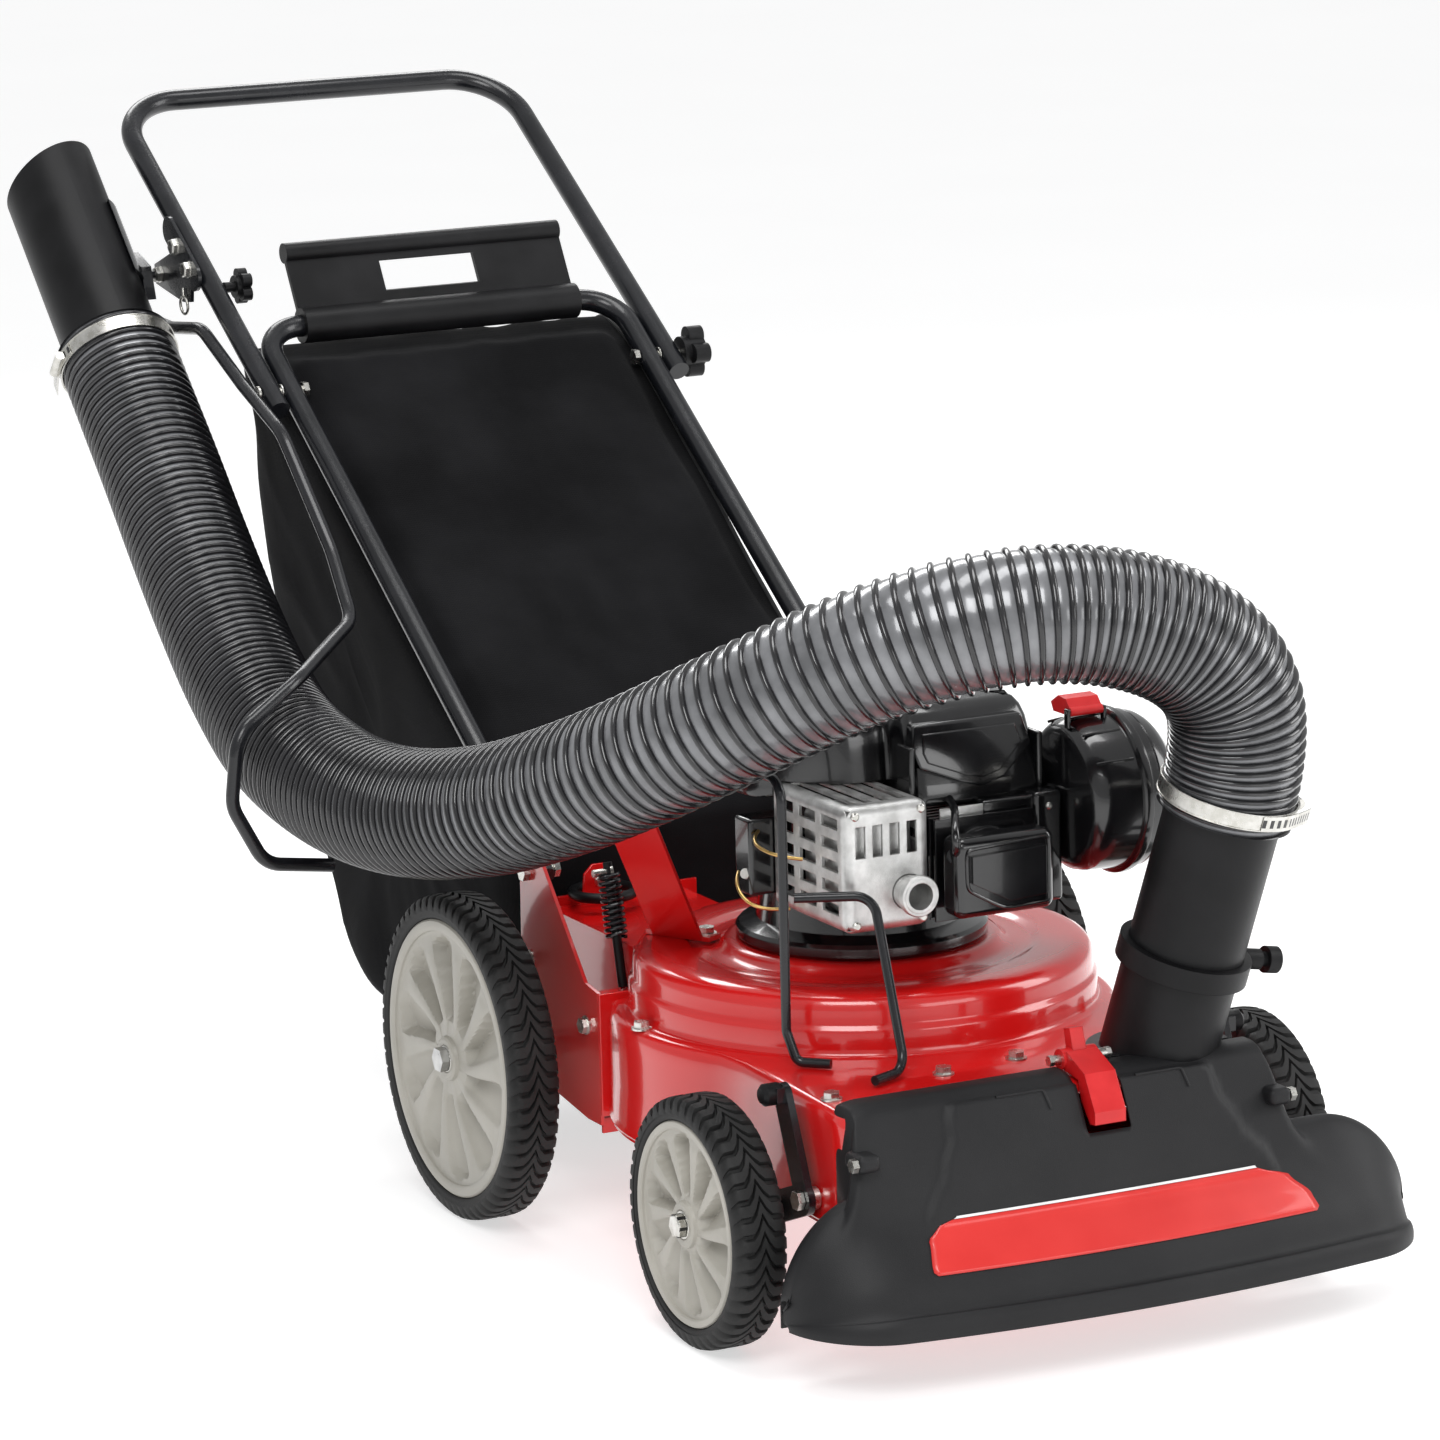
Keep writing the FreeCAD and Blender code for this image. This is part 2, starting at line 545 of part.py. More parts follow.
def route_direction(i, j):
    return (V(*HOSE_ROUTE[j]) - V(*HOSE_ROUTE[i])).normalize()


def hose_clamp(start, direction):
    """Worm-drive band round the hose's end, with its screw housing."""
    a = V(*start) + direction * 8.0
    b = a + direction * 13.0
    band = pipe(a, b, HOSE_R + 1.4, HOSE_R + 0.2)
    side = direction.cross(V(0, 1, 0)).normalize()
    middle = (a + b) * 0.5 - side * (HOSE_R + 5.0)
    across = direction.cross(side).normalize()
    screw = rod(middle - across * 13.0, middle + across * 13.0, 4.6)
    return fuse([band, screw])


def wand_point(distance):
    y, z = along(WAND_MID, WAND_SLOPE, distance)
    return V(WAND_X, y, z)


def wand():
    """Smooth rigid wand, cut at a slant at its mouth, with a bead inside the hose's end."""
    low = wand_point(WAND_LOW)
    tube = pipe(low, wand_point(WAND_TOP + 20.0), WAND_R, WAND_R - PIPE_WALL)
    bead = pipe(wand_point(WAND_LOW + 4.0), wand_point(WAND_LOW + 12.0), HOSE_BORE_R, WAND_R - 1.0)
    slant = box(-200.0, 200.0, -200.0, 200.0, 0.0, 200.0)
    slant.rotate(V(0, 0, 0), V(1, 0, 0), math.degrees(WAND_SLOPE) - 90.0)
    slant.rotate(V(0, 0, 0), V(-0.45, -0.6, 0.66), 18.0)
    slant.translate(wand_point(WAND_TOP))
    return fuse([tube, bead]).cut(slant)


def wand_saddle():
    """Band round the wand with a lug towards the handle."""
    a, b = wand_point(-52.0), wand_point(34.0)
    band = pipe(a, b, WAND_R + 3.5, WAND_R).common(box(-252.0, -200.0, 1000.0, 1400.0, 500.0, 900.0))
    ear = prism_x([(1150, 702), (1182, 706), (1206, 728), (1192, 742), (1160, 732)], -240.0, -230.0)
    pin = rod((-232.0, 1170.0, 722.0), (-220.5, 1170.0, 722.0), 4.0)
    return fuse([band, ear, pin]).cut(rod(wand_point(-110.0), wand_point(60.0), WAND_R))


def tube_point(distance):
    """Y, Z of a point on the upper handle's legs, measured from the fold."""
    return along(PIVOT, UPPER_SLOPE, distance)


def handle_bracket():
    """Plates on the upper handle's leg, with an arm that reaches back to the wand's saddle."""
    x_in = -UPPER_X - TUBE_R - 0.2
    a, b = tube_point(168.0), tube_point(238.0)
    plate = bar_plate(a, b, 13.0, x_in, x_in - 3.3)
    arm = prism_x([(1092, 742), (1124, 752), (1186, 730), (1184, 712), (1158, 708), (1116, 702), (1098, 704)],
                  x_in, x_in - 3.3)
    arm = arm.cut(rod((x_in + 5.0, 1170.0, 722.0), (x_in - 20.0, 1170.0, 722.0), 5.2))
    bolts = []
    for distance in (180.0, 214.0):
        y, z = tube_point(distance)
        bolts.append(hexagon((x_in - 3.3, y, z), (x_in - 8.5, y, z), 12.0))
        bolts.append(rod((x_in - 3.3, y, z), (-UPPER_X + 4.0, y, z), 3.5))
    return fuse([plate, arm] + bolts).cut(upper_handle_solid())


def star_knob(centre, direction, r, depth, lobes):
    """Moulded hand knob with round lobes."""
    centre, direction = V(*centre), V(*direction)
    hub = rod(centre, centre + direction * depth, r * 0.62)
    side = V(0, 1, 0)
    up = direction.cross(side).normalize()
    parts = [hub]
    for k in range(lobes):
        angle = 2.0 * math.pi * k / lobes
        offset = side * (r * 0.62 * math.cos(angle)) + up * (r * 0.62 * math.sin(angle))
        start = centre + offset + direction * (depth * 0.3)
        parts.append(rod(start, start + direction * (depth * 0.7), r * 0.38))
    return fuse(parts)


def wand_knob():
    y, z = tube_point(150.0)
    x = -UPPER_X + TUBE_R + 0.5
    stem = rod((x, y, z), (x + 12.0, y, z), 5.0)
    return fuse([stem, star_knob((x + 10.0, y, z), (1, 0, 0), 17.0, 13.0, 5)])


def hairpin():
    """Spring ring that hangs in the handle's bracket."""
    centre = V(-219.0, 1108.0, 700.0)
    ring = Part.makeTorus(8.0, 1.4, centre, V(1, 0.05, 0.05))
    pin = rod(centre + V(0.0, 1.0, 7.6), (-218.2, 1111.0, 716.0), 1.4)
    return fuse([ring, pin])


# ---------------------------------------------------------------- handles

def lower_handle_points():
    foot_y, foot_z = LOWER_FOOT
    top_z = foot_z + (CROSS_Y - foot_y) * math.tan(LOWER_SLOPE)
    return [(-LOWER_X, foot_y, foot_z), (-LOWER_X, CROSS_Y, top_z), (LOWER_X, CROSS_Y, top_z),
            (LOWER_X, foot_y, foot_z)]


CROSS_Z = LOWER_FOOT[1] + (CROSS_Y - LOWER_FOOT[0]) * math.tan(LOWER_SLOPE)


def lower_handle():
    """One bent tube: two legs from the rear brackets and the cross tube that carries the bag."""
    tube = bent_bar(lower_handle_points(), [40.0, 40.0], TUBE_R)
    foot = along(LOWER_FOOT, LOWER_SLOPE, 8.0)
    for side in (-1, 1):
        tube = tube.cut(rod((side * 150.0, *PIVOT), (side * 195.0, *PIVOT), 4.0 + RUN_GAP))
        tube = tube.cut(rod((side * 150.0, *foot), (side * 195.0, *foot), 4.0))
    return tube


def upper_handle_solid():
    low_y, low_z = tube_point(-26.0)
    bar_y, bar_z = tube_point(UPPER_LEN)
    return bent_bar([(-UPPER_X, low_y, low_z), (-UPPER_X, bar_y, bar_z), (UPPER_X, bar_y, bar_z),
                     (UPPER_X, low_y, low_z)], [62.0, 62.0], TUBE_R)


def upper_handle():
    tube = upper_handle_solid()
    for side in (-1, 1):
        tube = tube.cut(rod((side * 185.0, *PIVOT), (side * 220.0, *PIVOT), 4.0 + RUN_GAP))
    return tube


def handle_bolts():
    """Fold bolts with their washers, and the bolts of the handle's feet."""
    bolts = []
    foot = along(LOWER_FOOT, LOWER_SLOPE, 8.0)
    inner = LOWER_X - TUBE_R - 0.6
    for side in (-1, 1):
        outer = UPPER_X + TUBE_R + (2.6 if side < 0 else 1.2)
        shank = rod((side * inner, *PIVOT), (side * outer, *PIVOT), 4.0)
        head = hexagon((side * (inner - 5.0), *PIVOT), (side * inner, *PIVOT), 13.0)
        washer = rod((side * (LOWER_X + TUBE_R), *PIVOT), (side * (UPPER_X - TUBE_R - 0.2), *PIVOT), 7.0)
        parts = [shank, head, washer]
        if side < 0:
            parts.append(rod((-(UPPER_X + TUBE_R + 0.4), *PIVOT), (-outer, *PIVOT), 7.0))
        bolts.append(fuse(parts))
        face = BRACKET_X + 3.2
        shank = rod((side * inner, *foot), (side * (face + 1.0), *foot), 4.0)
        head = hexagon((side * face, *foot), (side * (face + 5.5), *foot), 13.0)
        nut = hexagon((side * (inner - 5.0), *foot), (side * inner, *foot), 13.0)
        bolts.append(fuse([shank, head, nut]))
    return Part.makeCompound(bolts)


def fold_knob():
    x = UPPER_X + TUBE_R + 1.2 + FACE_GAP
    return star_knob((x, *PIVOT), (1, 0, 0), 24.0, 22.0, 4)


def grip_panel():
    """Extruded panel that hooks over the cross tube and carries the bag's top edge."""
    half = 140.0
    lean = math.radians(60.0)
    roll_r = 16.5
    y0, z0 = CROSS_Y, CROSS_Z
    y1, z1 = y0 + 73.0 * math.cos(lean), z0 + 73.0 * math.sin(lean)
    low_roll = pipe((-half, y0, z0), (half, y0, z0), roll_r, TUBE_R + 0.2)
    top_roll = rod((-half, y1, z1), (half, y1, z1), 9.5)
    web = bar_plate((y0 + roll_r * 0.86 * math.cos(lean), z0 + roll_r * 0.86 * math.sin(lean)), (y1, z1),
                    2.6, -half, half)
    slot = fuse([prism_x([(y0 - 60, z0 + 24), (y0 + 60, z0 + 24), (y0 + 60, z0 + 50), (y0 - 60, z0 + 50)],
                         -48.0, 48.0)])
    return fuse([low_roll, top_roll, web.cut(slot)])


# ---------------------------------------------------------------- bag and hose support

def bag():
    """Closed stand-in of the cloth bag, hung under the lower handle."""
    gap = TUBE_R + 3.0
    s, c = math.sin(LOWER_SLOPE), math.cos(LOWER_SLOPE)

    def under(distance, depth):
        y, z = along(LOWER_FOOT, LOWER_SLOPE, distance)
        return y + depth * s, z - depth * c

    side_view = [under(64.0, gap), under(672.0, gap), under(726.0, gap + 14.0), (1072, 650), (1056, 580),
                 (1010, 390), (944, 220), (880, 140), (770, 84), (640, 76), (520, 100), (489, 140),
                 (489, 290)]
    body = prism_x(side_view, -BAG_X, BAG_X)
    top_view = [(-160, 400), (160, 400), (178, 560), (BAG_X, 800), (BAG_X, 1100), (-BAG_X, 1100),
                (-BAG_X, 800), (-178, 560)]
    return body.common(prism_z(top_view, 0.0, 900.0))


def hose_support_rod():
    """Bent rod from the wand's saddle, down the handle's leg, to a hook under the hose."""
    points = [(-229.5, 1206.0, 696.0), (-224.0, 1190.0, 679.0), (-224.0, 1130.0, 677.0), (-224.0, 1055.0, 685.0),
              (-224.0, 960.0, 644.0), (-224.0, 872.0, 612.0), (-224.0, 768.0, 520.0), (-236.0, 700.0, 470.0),
              (-330.0, 606.0, 442.0), (-398.0, 578.0, 408.0), (-404.0, 582.0, 345.0), (-374.0, 586.0, 290.0),
              (-310.0, 590.0, 280.0)]
    radii = [14.0, 80.0, 50.0, 90.0, 70.0, 120.0, 45.0, 60.0, 32.0, 32.0, 30.0]
    return bent_bar(points, radii, ROD_R)


# ---------------------------------------------------------------- engine

def crankcase():
    base = turned([(DECK_Z, 20.0), (DECK_Z, ENGINE_BASE_R - 3), (DECK_Z + 3, ENGINE_BASE_R),
                   (DECK_Z + 10, ENGINE_BASE_R), (DECK_Z + 13, ENGINE_BASE_R - 3), (DECK_Z + 18, 88.0),
                   (310.0, 84.0), (360.0, 74.0), (BLOWER_Z0 - 0.5, 70.0), (BLOWER_Z0 - 0.5, 20.0)],
                  (DRUM_X, DRUM_Y, 0), (0, 0, 1), (1, 0, 0))
    x, y = DIPSTICK
    filler = bent_bar([(70.0, 216.0, 300.0), (x, y, 318.0), (x, y, 352.0)], [20.0], 10.0)
    return fuse([base, filler])


def cylinder():
    """Finned barrel and head, pointing forward."""
    barrel = rod((CYL_X, 136.0, CYL_Z), (CYL_X, 34.0, CYL_Z), 34.0)
    fins = [box(CYL_X - 46.0, CYL_X + 46.0, y, y + 3.0, CYL_Z - 40.0, CYL_Z + 44.0) for y in range(40, 112, 9)]
    solid = fuse([barrel] + fins)
    guard_space = box(-110.0, -16.6, 0.0, 160.0, 300.0, 430.0)
    blower_space = box(-200.0, 200.0, 0.0, 300.0, BLOWER_Z0 - 6.0, 500.0)
    case = rod((DRUM_X, DRUM_Y, 200.0), (DRUM_X, DRUM_Y, 500.0), 89.0)
    return cut(solid, guard_space, blower_space, case)


def rounded_box(x0, x1, y0, y1, z0, z1, r):
    solid = box(x0, x1, y0, y1, z0, z1)
    return solid.makeFillet(r, solid.Edges)


def valve_cover():
    cover = rounded_box(CYL_X - 44.0, CYL_X + 46.0, 4.0, 33.6, CYL_Z - 32.0, CYL_Z + 34.0, 8.0)
    panel = prism_y([(CYL_X - 32, CYL_Z + 20), (CYL_X + 36, CYL_Z + 22), (CYL_X + 36, CYL_Z - 18),
                     (CYL_X + 2, CYL_Z - 20), (CYL_X - 32, CYL_Z - 2)], 0.5, 6.0)
    return fuse([cover, panel])


GUARD_X0, GUARD_X1 = -106.0, -29.0
GUARD_Y0, GUARD_Y1 = 25.0, 148.0
GUARD_Z0, GUARD_Z1 = 308.0, 412.0


def muffler():
    body = rounded_box(GUARD_X0 + 8, GUARD_X1 - 8, GUARD_Y0 + 12, GUARD_Y1 - 30, GUARD_Z0 + 10, GUARD_Z1 - 12, 10.0)
    centre_x, centre_z = -50.0, 338.0
    outlet = rod((centre_x, GUARD_Y0 + 20, centre_z), (centre_x, 4.0, centre_z), 14.0)
    flange = box(GUARD_X1 - 9.0, CYL_X - 46.2, 62.0, 92.0, CYL_Z - 20.0, CYL_Z + 10.0)
    bore = rod((centre_x, 60.0, centre_z), (centre_x, 3.0, centre_z), 11.0)
    case = rod((DRUM_X, DRUM_Y, 200.0), (DRUM_X, DRUM_Y, 500.0), 90.0)
    return cut(fuse([body, outlet, flange]), bore, case)


def muffler_guard():
    """Cast box with slotted sides over the muffler, open at the back."""
    wall = 3.0
    outer = rounded_box(GUARD_X0, GUARD_X1, GUARD_Y0, GUARD_Y1 + 12.0, GUARD_Z0, GUARD_Z1, 9.0)
    inner = box(GUARD_X0 + wall, GUARD_X1 - wall, GUARD_Y0 + wall, GUARD_Y1 + 20.0, GUARD_Z0 + wall, GUARD_Z1 - wall)
    shell = outer.cut(inner).cut(box(-300, 300, GUARD_Y1, 400, 200, 500))
    slots = []
    for row in range(5):
        z = GUARD_Z0 + 14.0 + row * 17.5
        for column in range(3):
            y = GUARD_Y0 + 14.0 + column * 38.0
            slots.append(box(GUARD_X0 - 1, GUARD_X0 + wall + 1, y, y + 28.0, z, z + 9.0))
            if row > 2 or column != 0:
                slots.append(box(GUARD_X1 - wall - 1, GUARD_X1 + 1, y, y + 28.0, z, z + 9.0))
    for column in range(4):
        x = GUARD_X0 + 9.0 + column * 15.5
        slots.append(box(x, x + 9.0, GUARD_Y0 + 14.0, GUARD_Y1 - 12.0, GUARD_Z1 - wall - 1, GUARD_Z1 + 1))
        slots.append(box(x, x + 9.0, GUARD_Y0 - 1, GUARD_Y0 + wall + 1, GUARD_Z0 + 62.0, GUARD_Z1 - 16.0))
    outlet = rod((-50.0, 0.0, 338.0), (-50.0, 60.0, 338.0), 14.6)
    flange = box(GUARD_X1 - 5.0, GUARD_X1 + 5.0, 60.0, 94.0, CYL_Z - 22.0, CYL_Z + 12.0)
    case = rod((DRUM_X, DRUM_Y, 200.0), (DRUM_X, DRUM_Y, 500.0), 90.0)
    return cut(shell, Part.makeCompound(slots), outlet, flange, case)


def blower_housing():
    """Fan shroud: a round cover with a nose that reaches forward over the cylinder."""
    z0, z1 = BLOWER_Z0, BLOWER_Z1
    outer = fuse([rod((DRUM_X, DRUM_Y, z0), (DRUM_X, DRUM_Y, z1), BLOWER_R),
                  prism_x([(DRUM_Y, z0), (62, z0), (56, z0 + 12), (72, z1 - 14), (96, z1), (DRUM_Y, z1)],
                          -25.0, 96.0)])
    t = 3.0
    inner = fuse([rod((DRUM_X, DRUM_Y, z0 - 1), (DRUM_X, DRUM_Y, z1 - t), BLOWER_R - t),
                  prism_x([(DRUM_Y, z0 - 1), (65, z0 - 1), (60, z0 + 12), (75, z1 - 16), (97, z1 - t), (DRUM_Y, z1 - t)],
                          -22.0, 93.0)])
    shell = outer.cut(inner)
    intake = rod((DRUM_X, DRUM_Y, z1 - 10), (DRUM_X, DRUM_Y, z1 + 1), 70.0)
    guard = box(GUARD_X0 - 4.0, GUARD_X1 + 0.6, 0.0, GUARD_Y1 + 1.0, 300.0, GUARD_Z1 + 0.6)
    return cut(shell, intake, guard)


def recoil_cover():
    """Slotted cover of the recoil starter on top of the shroud."""
    z = BLOWER_Z1
    cover = turned([(z + 0.2, 84.0), (z + 22, 80.0), (z + 30, 70.0), (z + 32, 0.0), (z + 29, 0.0), (z + 27, 68.0),
                    (z + 20, 77.0), (z + 0.2, 81.0)], (DRUM_X, DRUM_Y, 0), (0, 0, 1), (1, 0, 0))
    for k in range(12):
        slot = box(30.0, 62.0, -4.0, 4.0, z + 20, z + 40)
        slot.rotate(V(0, 0, 0), V(0, 0, 1), 30.0 * k)
        slot.translate(V(DRUM_X, DRUM_Y, 0))
        cover = cover.cut(slot)
    return cover


def crankshaft():
    return rod((DRUM_X, DRUM_Y, 128.0), (DRUM_X, DRUM_Y, 470.0), 12.5)


def flywheel():
    z = BLOWER_Z0 + 26.0
    disc = rod((DRUM_X, DRUM_Y, z), (DRUM_X, DRUM_Y, z + 12.0), 92.0)
    blades = []
    for k in range(14):
        blade = box(56.0, 90.0, -1.5, 1.5, z + 12.0, z + 38.0)
        blade.rotate(V(0, 0, 0), V(0, 0, 1), 360.0 * k / 14)
        blade.translate(V(DRUM_X, DRUM_Y, 0))
        blades.append(blade)
    hub = rod((DRUM_X, DRUM_Y, z - 8.0), (DRUM_X, DRUM_Y, z + 24.0), 26.0)
    return fuse([disc, hub] + blades).cut(rod((DRUM_X, DRUM_Y, 0), (DRUM_X, DRUM_Y, 600), 12.5))


def impeller():
    """Back plate, hub and four paddles that shred and blow the leaves."""
    z = 236.0
    disc = rod((DRUM_X, DRUM_Y, z), (DRUM_X, DRUM_Y, z + 5.0), 165.0)
    hub = rod((DRUM_X, DRUM_Y, 150.0), (DRUM_X, DRUM_Y, z), 28.0)
    paddles = []
    for k in range(4):
        paddle = box(24.0, 176.0, -3.0, 3.0, 140.0, z)
        paddle.rotate(V(0, 0, 0), V(0, 0, 1), 90.0 * k)
        paddle.translate(V(DRUM_X, DRUM_Y, 0))
        paddles.append(paddle)
    return fuse([disc, hub] + paddles).cut(rod((DRUM_X, DRUM_Y, 0), (DRUM_X, DRUM_Y, 600), 12.5))


def carburettor():
    neck = rod((CYL_X + 47.0, 84.0, CYL_Z + 18.0), (92.0, 84.0, CYL_Z + 18.0), 13.0)
    body = box(78.0, 104.0, 66.0, 106.0, CYL_Z - 20.0, CYL_Z + 34.0)
    return fuse([neck, body]).cut(box(70.0, 110.0, 60.0, 130.0, BLOWER_Z0 - 17.0, 500.0))


LATCH_PIN = (40.0, 463.5)        # Y, Z


def air_filter_housing():
    """Drum-shaped filter case; its domed cover faces the machine's left side."""
    y, z, r = FILTER_Y, FILTER_Z, FILTER_R
    case = turned([(0, 0), (0, r - 12), (8, r - 4), (42, r - 2), (42, r + 3), (50, r + 3), (50, r), (68, r - 3),
                   (80, r - 12), (85, r - 26), (86, 0)], (104.6, y, z), (1, 0, 0), (0, 0, 1))
    ears = [box(x, x + 3.0, LATCH_PIN[0] - 3.6, LATCH_PIN[0] + 3.6, 450.0, LATCH_PIN[1] + 3.0) for x in (105.6, 139.4)]
    pin = rod((105.6, *LATCH_PIN), (142.4, *LATCH_PIN), 1.6)
    return fuse([case, pin] + ears)


def filter_latch():
    """Snap latch that swings up about a pin at its front."""
    y, z = LATCH_PIN
    boss = rod((109.0, y, z), (139.0, y, z), 3.8)
    tab = prism_x([(y, z - 3.3), (66, z - 3.3), (70, z + 4), (58, z + 11), (46, z + 10), (y, z + 3.5)], 109.0, 139.0)
    return fuse([boss, tab]).cut(rod((100.0, y, z), (150.0, y, z), 1.6 + RUN_GAP))


def fuel_tank():
    tank = rounded_box(-66.0, 96.0, DRUM_Y + BLOWER_R + 4.0, DRUM_Y + BLOWER_R + 56.0, 372.0, 462.0, 14.0)
    neck = pipe((16.0, 348.0, 455.0), (16.0, 348.0, 472.0), 19.0, 15.0)
    return fuse([tank, neck])


def fuel_cap():
    cap = rod((16.0, 348.0, 472.0 + FACE_GAP), (16.0, 348.0, 488.0), 24.0)
    ribs = []
    for k in range(12):
        angle = 2.0 * math.pi * k / 12
        x, y = 16.0 + 24.0 * math.cos(angle), 348.0 + 24.0 * math.sin(angle)
        ribs.append(rod((x, y, 474.0), (x, y, 487.0), 2.2))
    return fuse([cap] + ribs)


def dipstick():
    x, y = DIPSTICK
    cap = rod((x, y, 352.0 + FACE_GAP), (x, y, 364.0), 13.0)
    wing = box(x - 11.0, x + 11.0, y - 3.0, y + 3.0, 364.0, 378.0)
    return fuse([cap, wing])


def guard_rod_tall():
    """Wire from the deck up to the shroud, which keeps the hose off the muffler."""
    return bent_bar([(-132.0, 8.0, FLANGE_Z + 5.0), (-152.0, 28.0, FLANGE_Z + 5.0), (-158.0, 34.0, 236.0),
                     (-158.0, 34.0, 440.0), (-158.0, 92.0, 440.0), (-111.0, 150.0, 440.0)],
                    [8.0, 12.0, 18.0, 22.0], GUARD_R)


def guard_rod_front():
    """Wire hoop in front of the muffler's outlet."""
    return bent_bar([(-149.2, 33.0, 344.0), (-92.0, 6.0, 344.0), (-92.0, -42.0, 212.0), (-128.0, -58.0, 212.0)],
                    [18.0, 18.0], GUARD_R)


# ---------------------------------------------------------------- the assembly

def build():
    parts = {
        "impeller_housing": impeller_housing(),
        "housing_floor": housing_floor(),
        "discharge_chute": discharge_chute(),
        "deck_brace": deck_brace(),
        "axle_tie_bar": axle_tie_bar(),
        "rear_axle": rear_axle(),
        "deck_bolts": deck_bolts(),
        "nozzle": nozzle(),
        "nozzle_badge": nozzle_badge(),
        "diverter_lever": diverter_lever(),
        "diverter_shaft": diverter_shaft(),
        "hose_port": hose_port(),
        "port_clamp_ring": port_clamp_ring(),
        "port_clamp_knob": port_clamp_knob(),
        "hose_adapter": hose_adapter(),
        "hose": hose(),
        "hose_clamp_lower": hose_clamp(HOSE_ROUTE[0], route_direction(0, 1)),
        "hose_clamp_upper": hose_clamp(HOSE_ROUTE[-1], route_direction(-1, -2)),
        "wand": wand(),
        "wand_saddle": wand_saddle(),
        "hairpin": hairpin(),
        "handle_bracket": handle_bracket(),
        "wand_knob": wand_knob(),
        "hose_support_rod": hose_support_rod(),
        "lower_handle": lower_handle(),
        "upper_handle": upper_handle(),
        "handle_bolts": handle_bolts(),
        "fold_knob": fold_knob(),
        "grip_panel": grip_panel(),
        "bag": bag(),
        "guard_rod_tall": guard_rod_tall(),
        "guard_rod_front": guard_rod_front(),
        "crankcase": crankcase(),
        "cylinder": cylinder(),
        "valve_cover": valve_cover(),
        "muffler": muffler(),
        "muffler_guard": muffler_guard(),
        "carburettor": carburettor(),
        "air_filter_housing": air_filter_housing(),
        "filter_latch": filter_latch(),
        "blower_housing": blower_housing(),
        "recoil_cover": recoil_cover(),
        "crankshaft": crankshaft(),
        "flywheel": flywheel(),
        "impeller": impeller(),
        "fuel_tank": fuel_tank(),
        "fuel_cap": fuel_cap(),
        "dipstick": dipstick(),
    }
    for name, side in (("right", -1), ("left", 1)):
        parts["front_arm_" + name] = front_arm(side)
        parts["rear_bracket_" + name] = rear_bracket(side)
        parts["rim_front_" + name] = wheel_rim(side, 0.0, FRONT_WHEEL_R, FRONT_RIM_R, FRONT_TRACK_OUT)
        parts["rim_rear_" + name] = wheel_rim(side, WHEELBASE, REAR_WHEEL_R, REAR_RIM_R, REAR_TRACK_OUT)
        parts["tyre_front_" + name] = wheel_tyre(side, 0.0, FRONT_WHEEL_R, FRONT_RIM_R, FRONT_WHEEL_R,
                                                 FRONT_TRACK_OUT)
        parts["tyre_rear_" + name] = wheel_tyre(side, WHEELBASE, REAR_WHEEL_R, REAR_RIM_R, REAR_WHEEL_R,
                                                REAR_TRACK_OUT)
    return parts


def report_hose(shape):
    wire = path(HOSE_ROUTE, route_radii(HOSE_ROUTE))
    section = math.pi * (HOSE_R ** 2 - HOSE_BORE_R ** 2)
    print("hose length %.0f mm, volume ratio %.4f" % (wire.Length, shape.Volume / (section * wire.Length)))
    print("hose radii", [round(r) for r in route_radii(HOSE_ROUTE)])


os.makedirs("parts", exist_ok=True)
PARTS = build()
report_hose(PARTS["hose"])
for part_name, part_shape in sorted(PARTS.items()):
    part_shape.translate(V(-ORIGIN_X, -ORIGIN_Y, 0.0))
    part_shape.exportStep("parts/" + part_name + ".step")
    if not part_shape.isValid() or len(part_shape.Solids) != 1:
        print(part_name, "solids", len(part_shape.Solids), "valid", part_shape.isValid())
print(len(PARTS), "sub-parts")
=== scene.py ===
import bmesh
import bpy
import math
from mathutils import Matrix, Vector, noise
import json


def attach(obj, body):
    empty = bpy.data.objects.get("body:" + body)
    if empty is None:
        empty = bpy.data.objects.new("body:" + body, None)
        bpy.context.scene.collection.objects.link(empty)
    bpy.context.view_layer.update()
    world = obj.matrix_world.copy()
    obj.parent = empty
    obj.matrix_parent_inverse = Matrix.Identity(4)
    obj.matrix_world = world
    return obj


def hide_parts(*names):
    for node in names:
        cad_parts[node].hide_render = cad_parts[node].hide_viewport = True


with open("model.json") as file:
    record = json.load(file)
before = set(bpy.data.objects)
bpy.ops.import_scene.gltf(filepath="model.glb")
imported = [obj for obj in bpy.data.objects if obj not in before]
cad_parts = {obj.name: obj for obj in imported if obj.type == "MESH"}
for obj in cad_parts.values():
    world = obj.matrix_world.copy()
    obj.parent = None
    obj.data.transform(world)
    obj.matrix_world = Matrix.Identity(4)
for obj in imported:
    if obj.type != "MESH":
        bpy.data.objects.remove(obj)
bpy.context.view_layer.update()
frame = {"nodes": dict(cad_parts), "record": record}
NODES = frame["nodes"]

# Everything is drawn in the machine's own axes, in millimetres: X = 0 is the centre plane,
# Y = 0 the front axle and +Y the rear. at() turns such a point into the row frame, in metres.
ROW_ORIGIN = Vector((-50.1, 547.2, 0.0))
# The operator's sides, and the sign of X there.
SIDES = (("right", -1), ("left", 1))


def at(x, y, z):
    """A machine point in millimetres as a row point in metres."""
    return (Vector((x, y, z)) - ROW_ORIGIN) / 1000.0


def smooth(t):
    """A step from 0 to 1 with soft ends."""
    t = min(max(t, 0.0), 1.0)
    return t * t * (3.0 - 2.0 * t)


def mix(a, b, t):
    """The value at a share t of the way from a to b."""
    return a + (b - a) * t


def between(table, t):
    """A value read from a short table of (t, value) pairs, smoothly."""
    for (t0, v0), (t1, v1) in zip(table, table[1:]):
        if t <= t1:
            return mix(v0, v1, smooth((t - t0) / (t1 - t0)))
    return table[-1][1]


# ---------------------------------------------------------------- materials

